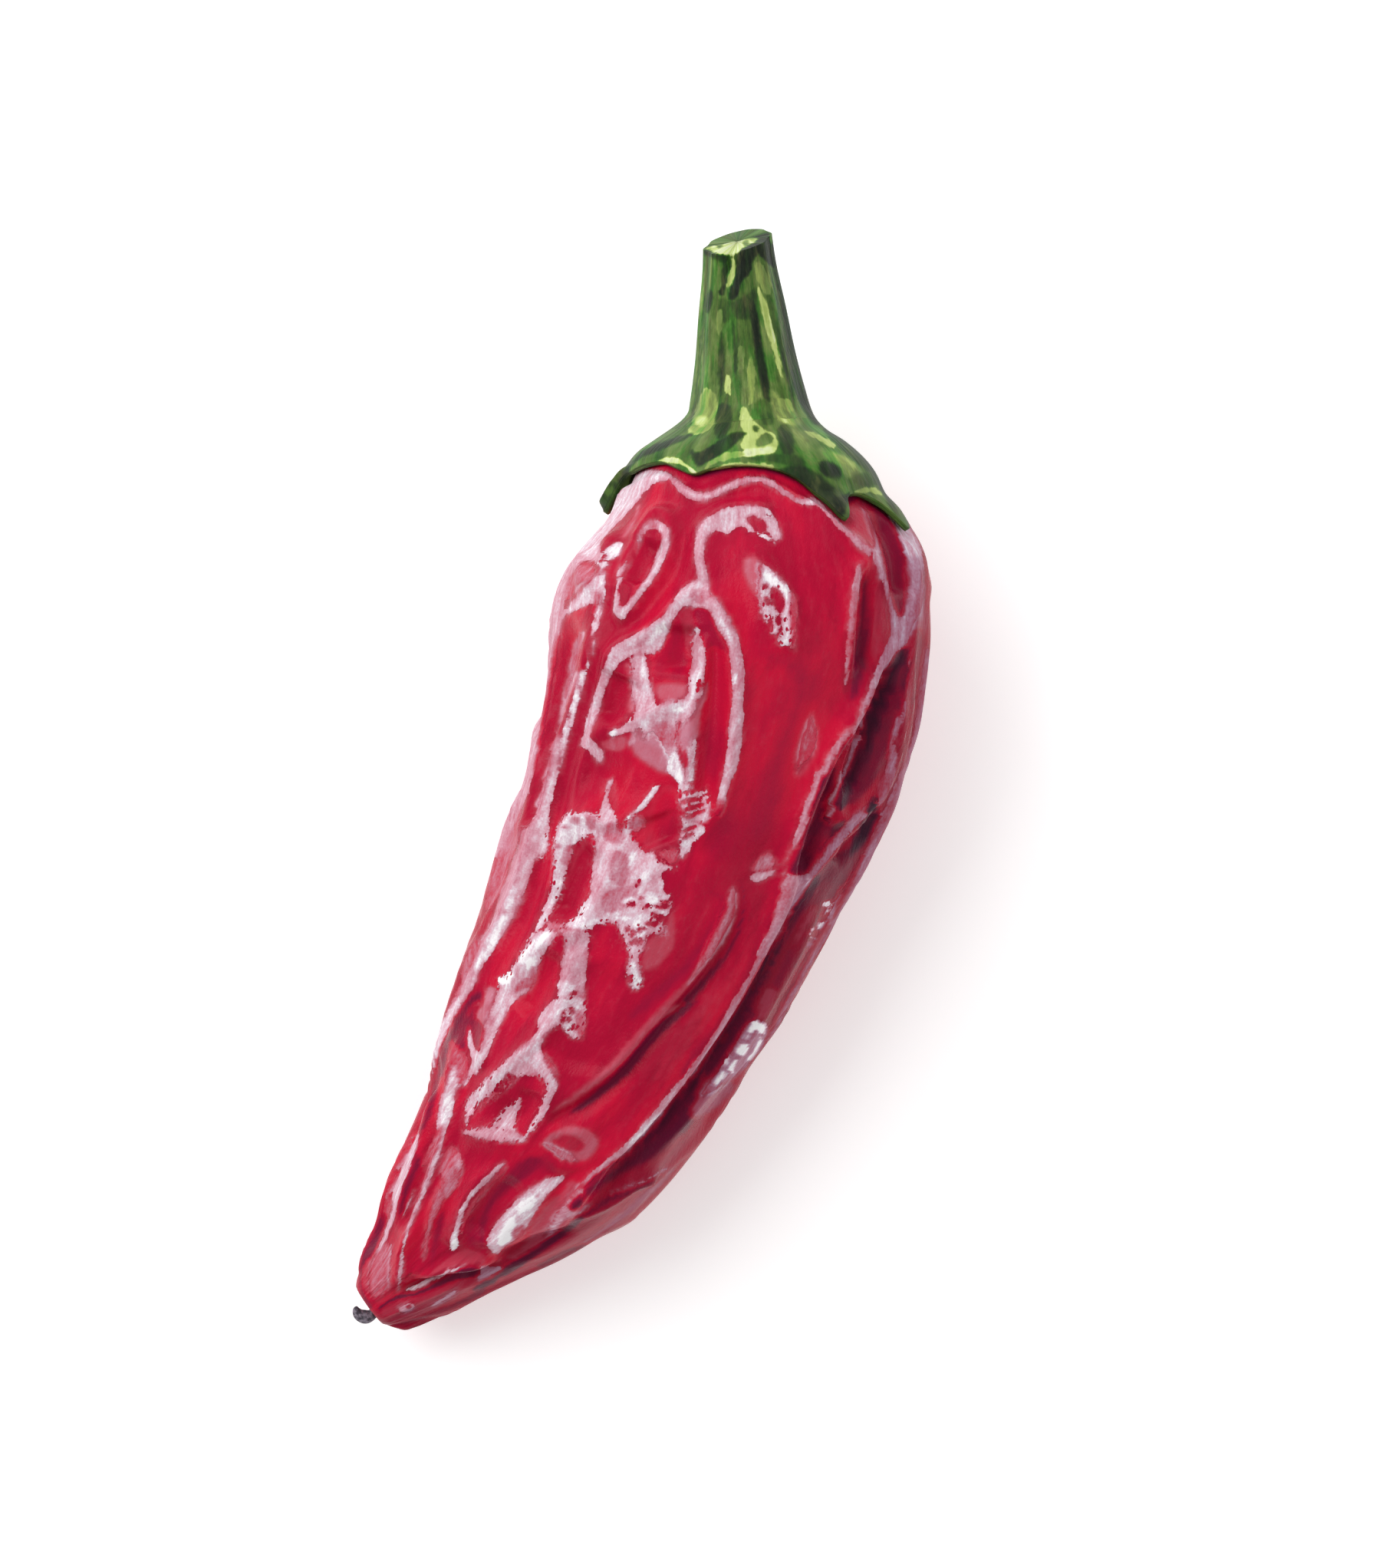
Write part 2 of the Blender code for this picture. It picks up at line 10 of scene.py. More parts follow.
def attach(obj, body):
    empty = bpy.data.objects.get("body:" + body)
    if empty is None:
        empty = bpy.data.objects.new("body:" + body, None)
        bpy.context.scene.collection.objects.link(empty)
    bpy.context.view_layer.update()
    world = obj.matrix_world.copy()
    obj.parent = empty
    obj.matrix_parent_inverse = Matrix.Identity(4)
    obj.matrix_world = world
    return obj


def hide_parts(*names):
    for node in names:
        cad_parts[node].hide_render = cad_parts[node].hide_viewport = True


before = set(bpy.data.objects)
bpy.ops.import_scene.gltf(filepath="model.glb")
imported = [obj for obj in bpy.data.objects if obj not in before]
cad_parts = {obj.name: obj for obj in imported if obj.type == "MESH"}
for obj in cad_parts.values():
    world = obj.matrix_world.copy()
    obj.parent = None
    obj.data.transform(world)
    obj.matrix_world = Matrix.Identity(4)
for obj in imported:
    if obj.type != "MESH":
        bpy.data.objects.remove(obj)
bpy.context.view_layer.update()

# A ripe, wrinkled chili pepper lying on its side, seen from straight above.
# A place on the pod is a station (mm along its bent axis from the calyx) and an angle round the axis,
# 0 on top and positive towards +X. The shapes repeat the part's own formulas, on a finer mesh.

mm = 0.001
netSeed = 1795623883  # the part's own, so that both have the same net of folds
noise.seed_set(netSeed)
startTime = time.time()


def report(text):
    print(f"{time.time() - startTime:6.1f} s  {text}")


# Curves and small helpers

def smoothCurve(knots, values, at):  # a smooth curve through the values at their knots
    knots = np.asarray(knots, float)
    values = np.asarray(values, float).reshape(len(knots), -1)
    slopes = np.gradient(values, knots, axis=0)
    at = np.clip(at, knots[0], knots[-1])
    start = np.clip(np.searchsorted(knots, at, side="right") - 1, 0, len(knots) - 2)
    step = (knots[start + 1] - knots[start])[..., None]
    t = (at - knots[start])[..., None] / step
    return hermite(values[start], values[start + 1], slopes[start] * step, slopes[start + 1] * step, t)


def ease(share):  # a smooth step from 0 to 1
    share = np.clip(share, 0, 1)
    return share * share * (3 - 2 * share)


def between(value, low, high):  # a smooth step from 0 at the low bound to 1 at the high one
    return ease((value - low) / (high - low))


def hermite(start, end, leaving, arriving, t):  # from start to end, with the slopes there over one step
    return (
        start * (1 + 2 * t) * (1 - t) ** 2
        + end * t * t * (3 - 2 * t)
        + leaving * t * (1 - t) ** 2
        - arriving * t * t * (1 - t)
    )


def lengthsAlong(points):
    return np.concatenate([[0], np.cumsum(np.linalg.norm(np.diff(points, axis=0), axis=1))])


# The body of the pod

body = {
    "axis": [(-4.3, 31.6), (7.8, 5.9), (-0.2, -34.5), (-9.9, -48.9)],  # Bezier seen from above, mm
    "axisHeight": [(-20, 20.1), (-8, 16.7), (0, 15.3), (15, 14.7), (30, 13.9), (50, 12.0), (70, 9.1),
                   (84, 6.3)],  # station and height, mm
    "profile": [  # station, half width towards +X, half width towards -X, mm
        (-2.4, 0.0, 0.0), (-2.15, 3.1, 4.0), (-1.6, 4.9, 6.6), (-0.8, 6.5, 8.6), (0.2, 7.95, 9.7),
        (2.0, 9.9, 10.5), (3.7, 11.0, 11.2), (5.0, 12.7, 11.8), (8.0, 14.85, 13.45), (11.5, 15.3, 15.05),
        (16.0, 15.65, 15.75), (22.0, 15.85, 15.5), (30.0, 14.6, 14.75), (34.0, 13.95, 14.3),
        (38.0, 13.65, 14.2), (46.0, 13.05, 13.25), (54.0, 12.2, 11.95), (61.0, 11.25, 10.3),
        (64.0, 10.7, 9.2), (67.0, 9.55, 8.55), (70.0, 8.25, 7.8), (73.0, 6.7, 7.0), (76.0, 5.2, 5.85),
        (78.0, 4.35, 4.7), (80.0, 3.6, 3.85), (81.7, 3.05, 3.15), (82.9, 2.7, 2.6), (83.7, 2.4, 2.4),
        (84.1, 2.0, 2.0), (84.05, 1.5, 1.5), (83.7, 1.05, 1.05), (83.3, 0.55, 0.55), (83.15, 0.0, 0.0),
    ],
    "flattening": 0.97,
}

axisPoints = np.array(body["axis"]) * mm
axisHeight = np.array(body["axisHeight"]) * mm
podProfile = np.array(body["profile"]) * mm


def bezier(t):  # point and direction of the axis, seen from above
    t = t[:, None]
    a, b, c, d = axisPoints
    point = (1 - t) ** 3 * a + 3 * (1 - t) ** 2 * t * b + 3 * (1 - t) * t * t * c + t**3 * d
    way = (1 - t) ** 2 * (b - a) + 2 * (1 - t) * t * (c - b) + t * t * (d - c)
    return point, way / np.linalg.norm(way, axis=1)[:, None]


axisSteps = np.linspace(0, 1, 400)
axisLengths = lengthsAlong(bezier(axisSteps)[0])


def onAxis(station, side, up):  # beside and above the axis; past its ends the axis runs on straight
    shape = np.shape(station)
    station, side, up = (np.ravel(np.broadcast_to(x, shape)) for x in (station, side, up))
    within = np.clip(station, 0, axisLengths[-1])
    point, way = bezier(np.interp(within, axisLengths, axisSteps))
    point = point + way * (station - within)[:, None]
    across = np.stack([-way[:, 1], way[:, 0]], axis=1)
    height = smoothCurve(axisHeight[:, 0], axisHeight[:, 1], station)[:, 0]
    placed = np.column_stack([point + across * side[:, None], height + up])
    return placed.reshape(shape + (3,))


podKnots = lengthsAlong(podProfile[:, :2])
podKnots = podKnots / podKnots[-1]


def podBase(share, angle):  # the pod without its folds; share runs from the calyx pole to the tip
    share, angle = np.broadcast_arrays(share, angle)
    station, right, left = np.moveaxis(smoothCurve(podKnots, podProfile, share), -1, 0)
    middle, lean = (right + left) / 2, (right - left) / 2
    side = (middle + lean * np.sin(angle)) * np.sin(angle)
    return onAxis(station, side, body["flattening"] * middle * np.cos(angle))


def stationOf(share):
    return smoothCurve(podKnots, podProfile[:, 0], share)[..., 0]


shareSteps = np.linspace(0, 1, 600)
stationSteps = np.maximum.accumulate(stationOf(shareSteps))


def shareOf(station):
    return np.interp(station, stationSteps, shareSteps)


def podNormal(share, angle):
    nudge, turn = 0.001, 0.01
    share = np.clip(share, 2 * nudge, 1 - 2 * nudge)
    along = podBase(share + nudge, angle) - podBase(share - nudge, angle)
    roundIt = podBase(share, angle + turn) - podBase(share, angle - turn)
    normal = np.cross(along, roundIt)
    return normal / np.linalg.norm(normal, axis=-1)[..., None]


# Folds of the shrunken skin: the height of a ridge or the depth of a hollow and its half width in mm, and
# its route of (station mm, angle degrees). A route that ends where it began is a ring.

ridges = {
    "collar": (0.6, 0.9, [(2.4, -76), (1.4, -64), (0.9, -52), (1.3, -43), (2.7, -34), (3.6, -25),
                          (3.6, -18), (2.9, -9), (2.1, 0), (2.6, 8), (3.9, 17), (4.5, 24), (5.6, 30),
                          (7.0, 36), (8.0, 42), (9.8, 49), (12.8, 55)]),
    "leftOval": (0.7, 0.85, [(5.2, -43), (6.0, -34), (9.0, -31), (12.5, -35), (15.6, -40.5), (12.5, -44.5),
                             (9.0, -46), (5.2, -43)]),
    "leftUpper": (0.75, 0.9, [(6.5, -64), (9.5, -58), (12.0, -53), (16.0, -50.5)]),
    "leftFork": (0.7, 1.0, [(9.5, -80), (12.0, -66), (13.2, -54)]),
    "leftLong": (1.15, 1.35, [(13, -52), (17, -50.5), (21, -52), (26, -55), (31, -58.5), (36, -59),
                              (41, -57.5), (46, -59), (50, -62), (54, -66), (58, -72), (62, -82)]),
    "leftSide": (0.7, 1.4, [(17, -84), (24, -82), (31, -77), (37, -70), (41, -66)]),
    "trunk": (0.75, 1.15, [(5.6, 10), (4.8, 0), (5.0, -10), (6.5, -17.5), (9.0, -18.5), (12, -15)]),
    "rightBranch": (0.95, 1.05, [(12, -15), (13.5, -9), (16, -4), (20, 1), (25, 5), (30, 6.5), (34, 4)]),
    "leftBranch": (0.9, 1.05, [(12, -15), (13.5, -22), (16.5, -29), (18.5, -40), (22, -44), (28.5, -48)]),
    "innerLine": (0.6, 0.85, [(15, -14), (18, -10), (22, -10), (26, -8), (30, -4), (35, -1)]),
    "crossBar": (0.6, 1.0, [(28.6, -47), (27, -40), (25.5, -33), (24.5, -26), (22.8, -18), (21.8, -11)]),
    "midArch": (0.7, 0.95, [(46, -37), (42, -39), (38, -43.5), (35.5, -42), (34.6, -34), (34.6, -27),
                            (33, -21), (30.5, -16)]),
    "midDiagonal": (0.7, 1.15, [(34.5, -27), (37, -21), (40, -20), (44, -22), (46, -30), (49, -38),
                                (53, -45)]),
    "midPatch": (0.45, 1.7, [(36, -12), (39, -4), (43, 0), (47, 4)]),
    "midTail": (0.7, 1.0, [(44.5, -22), (48, -19), (52, -16), (55.5, -20), (57.5, -24), (60, -29),
                           (63.5, -36)]),
    "lowArch": (0.7, 0.85, [(56.2, -19), (56.4, -12), (58, -4.5), (61, -1.5), (63.4, -3)]),
    "lowBar": (0.55, 1.0, [(63.5, -36), (65, -28), (64.6, -16), (63.4, -3)]),
    "lowStroke": (0.55, 0.85, [(53.5, -53), (57, -45), (60.5, -38.5)]),
    "lowLeft": (0.95, 0.85, [(58, -66), (61, -60), (63.5, -52), (66.5, -44), (70, -38.5), (73.5, -33.5),
                             (77, -27), (79, -15), (80, -4), (79.6, 6)]),
    "farLeftLow": (0.6, 1.1, [(64, -76), (68, -64), (72, -58), (77, -50)]),
    "crescent": (0.75, 0.85, [(66, -3), (68.5, -7), (71.5, -4.5), (73.3, 1), (74.6, 9)]),
    "lowCentre": (0.45, 0.9, [(67.5, -28), (70, -26), (73, -22), (75.5, -13)]),
    "lowBulge": (0.75, 1.5, [(64, 27), (67, 21), (70.5, 22), (72.3, 33)]),
    "faintRing": (0.4, 0.9, [(59.8, 18), (61.4, 29), (63, 18), (61.4, 7), (59.8, 18)]),
    "rightMain": (1.5, 1.2, [(13.5, 60), (15.5, 52), (18.5, 46), (21, 40), (25, 36.5), (29, 36.5), (33, 40),
                             (37, 44.5), (42, 46), (48, 45), (54, 43), (59, 39), (63.5, 36), (65.5, 37),
                             (67.5, 43), (69.5, 50)]),
    "rightHook": (0.8, 0.85, [(17, 50), (21, 45.5), (25, 44), (27.5, 48), (27.5, 55), (26, 62)]),
    "rightBand": (0.95, 1.15, [(35, 46), (32, 50), (29.5, 56), (27, 64), (23.5, 70), (19.5, 66), (14, 62)]),
    "rightStripe": (0.7, 0.9, [(8, 42), (10, 36.5), (14, 35.5), (18, 38)]),
    "rightEdge": (0.75, 1.5, [(5, 66), (9, 68), (14, 66), (19, 74), (26, 82), (34, 84), (44, 82)]),
    "rightLow": (0.8, 0.85, [(67, 42), (63.5, 52), (61, 60), (59.5, 74)]),
    "rightFlank": (0.55, 1.3, [(34, 68), (40, 66), (46, 64), (52, 62), (58, 58)]),
    "tipRight": (0.95, 0.75, [(79.6, 6), (77, 16), (75, 28), (73.8, 40), (72.5, 54)]),
    "foldLine": (0.6, 0.95, [(35.5, 21), (39, 25), (43, 24), (48, 19.5), (53, 15), (57.5, 9)]),
    "smallOval": (0.45, 0.8, [(8.6, 2), (10.5, 9), (13, 14), (15.6, 16), (14.5, 9), (12, 4), (8.6, 2)]),
}

hollows = {
    "leftOval": (1.0, 2.0, [(7.5, -38), (12.5, -40)]),
    "roundOval": (0.7, 1.6, [(4.5, -27), (9, -25), (13, -30), (17, -42), (15, -47.5), (9, -50)]),
    "upperCell": (1.0, 2.1, [(15.5, -19), (20, -17)]),
    "leftCell": (1.0, 2.1, [(21, -37), (26, -40)]),
    "branchSlot": (0.7, 1.2, [(15, -9), (20, -5), (26, -1.5), (31, 1)]),
    "bellyLeft": (0.75, 2.1, [(31, -46), (31, -34), (31.5, -25)]),
    "bellyCell": (0.55, 1.7, [(32.5, -13), (34.5, -6)]),
    "deepCell": (1.15, 1.7, [(36.8, -31), (41, -34), (44.5, -33)]),
    "leftGroove": (0.75, 1.4, [(18, -46), (24, -50), (31, -53.5), (38, -52), (45, -50), (50, -54)]),
    "leftWedge": (1.15, 1.6, [(16, -64), (22, -70), (29, -69), (35, -65), (38, -62.5)]),
    "lowCell": (0.8, 1.9, [(47, -28), (54, -32)]),
    "lowSlope": (0.55, 3.0, [(46, -14), (52, -6), (56, 2)]),
    "lowArch": (0.7, 1.5, [(59, -11), (61.5, -8), (62.3, -22)]),
    "crease": (1.15, 0.9, [(35.5, 25), (40, 29), (44, 27.5), (49, 22), (54, 18), (58, 12), (61, 2)]),
    "rightUpper": (1.1, 0.9, [(9, 41), (13, 40.5), (17, 42.5)]),
    "rightCell": (1.0, 1.6, [(4.8, 57), (11, 59)]),
    "rightPit": (1.75, 1.5, [(15.5, 60), (19, 53), (23, 49.5), (26, 51)]),
    "rightSlot": (1.35, 0.9, [(21.5, 43), (26, 40.5), (30, 42), (33.5, 45.5)]),
    "rightSpot": (1.35, 1.5, [(26, 73), (29, 66), (31, 60)]),
    "rightLong": (1.95, 1.4, [(33.5, 51), (39, 51), (45, 50.5), (51, 49.5), (56, 47), (60, 44), (64, 41)]),
    "rightFoot": (1.2, 1.1, [(66.5, 53), (70, 50), (74, 47), (77, 42)]),
    "tipCleft": (1.2, 0.8, [(82, 6), (79.4, 20), (77.2, 30), (75.6, 40)]),
    "lowGroove": (0.8, 1.1, [(64, -60), (69, -51), (74, -43), (77, -38)]),
    "lowMiddle": (0.7, 1.5, [(66, 8), (70, 8), (72.5, 13)]),
}

# The pale washes are painted highlights and reflections, the dark ones painted shade in the hollows.
# What is painted on the skin, in the order of painting. An entry has its tone, from dark (-1) over the
# plain colour (0) to pale (1), the softness of its border, and its outline in pixels of the photograph.
# The first text says in the same way where the brush ran dry, with how much in place of the tone.
# Where the brush ran dry, the painted highlights break up into specks and holes.
broken = """
1 8: 974,738 1010,742 1034,790 1032,846 1014,852 988,812 970,772;
0.45 8: 800,870 850,830 900,800 934,840 932,930 922,1016 880,1012 838,960 800,950;
0.6 7: 876,1012 930,1012 926,1062 900,1114 874,1108;
1 9: 712,1060 760,1044 830,1066 884,1120 890,1190 872,1250 800,1250 716,1240 700,1150;
1 8: 770,1150 884,1150 872,1220 850,1290 820,1290 800,1230 768,1190;
1 6: 640,1236 700,1220 716,1250 650,1300 628,1286;
1 6: 722,1296 766,1290 764,1350 738,1362 716,1340;
0.8 7: 600,1420 650,1370 712,1376 722,1440 690,1492 606,1484;
"""
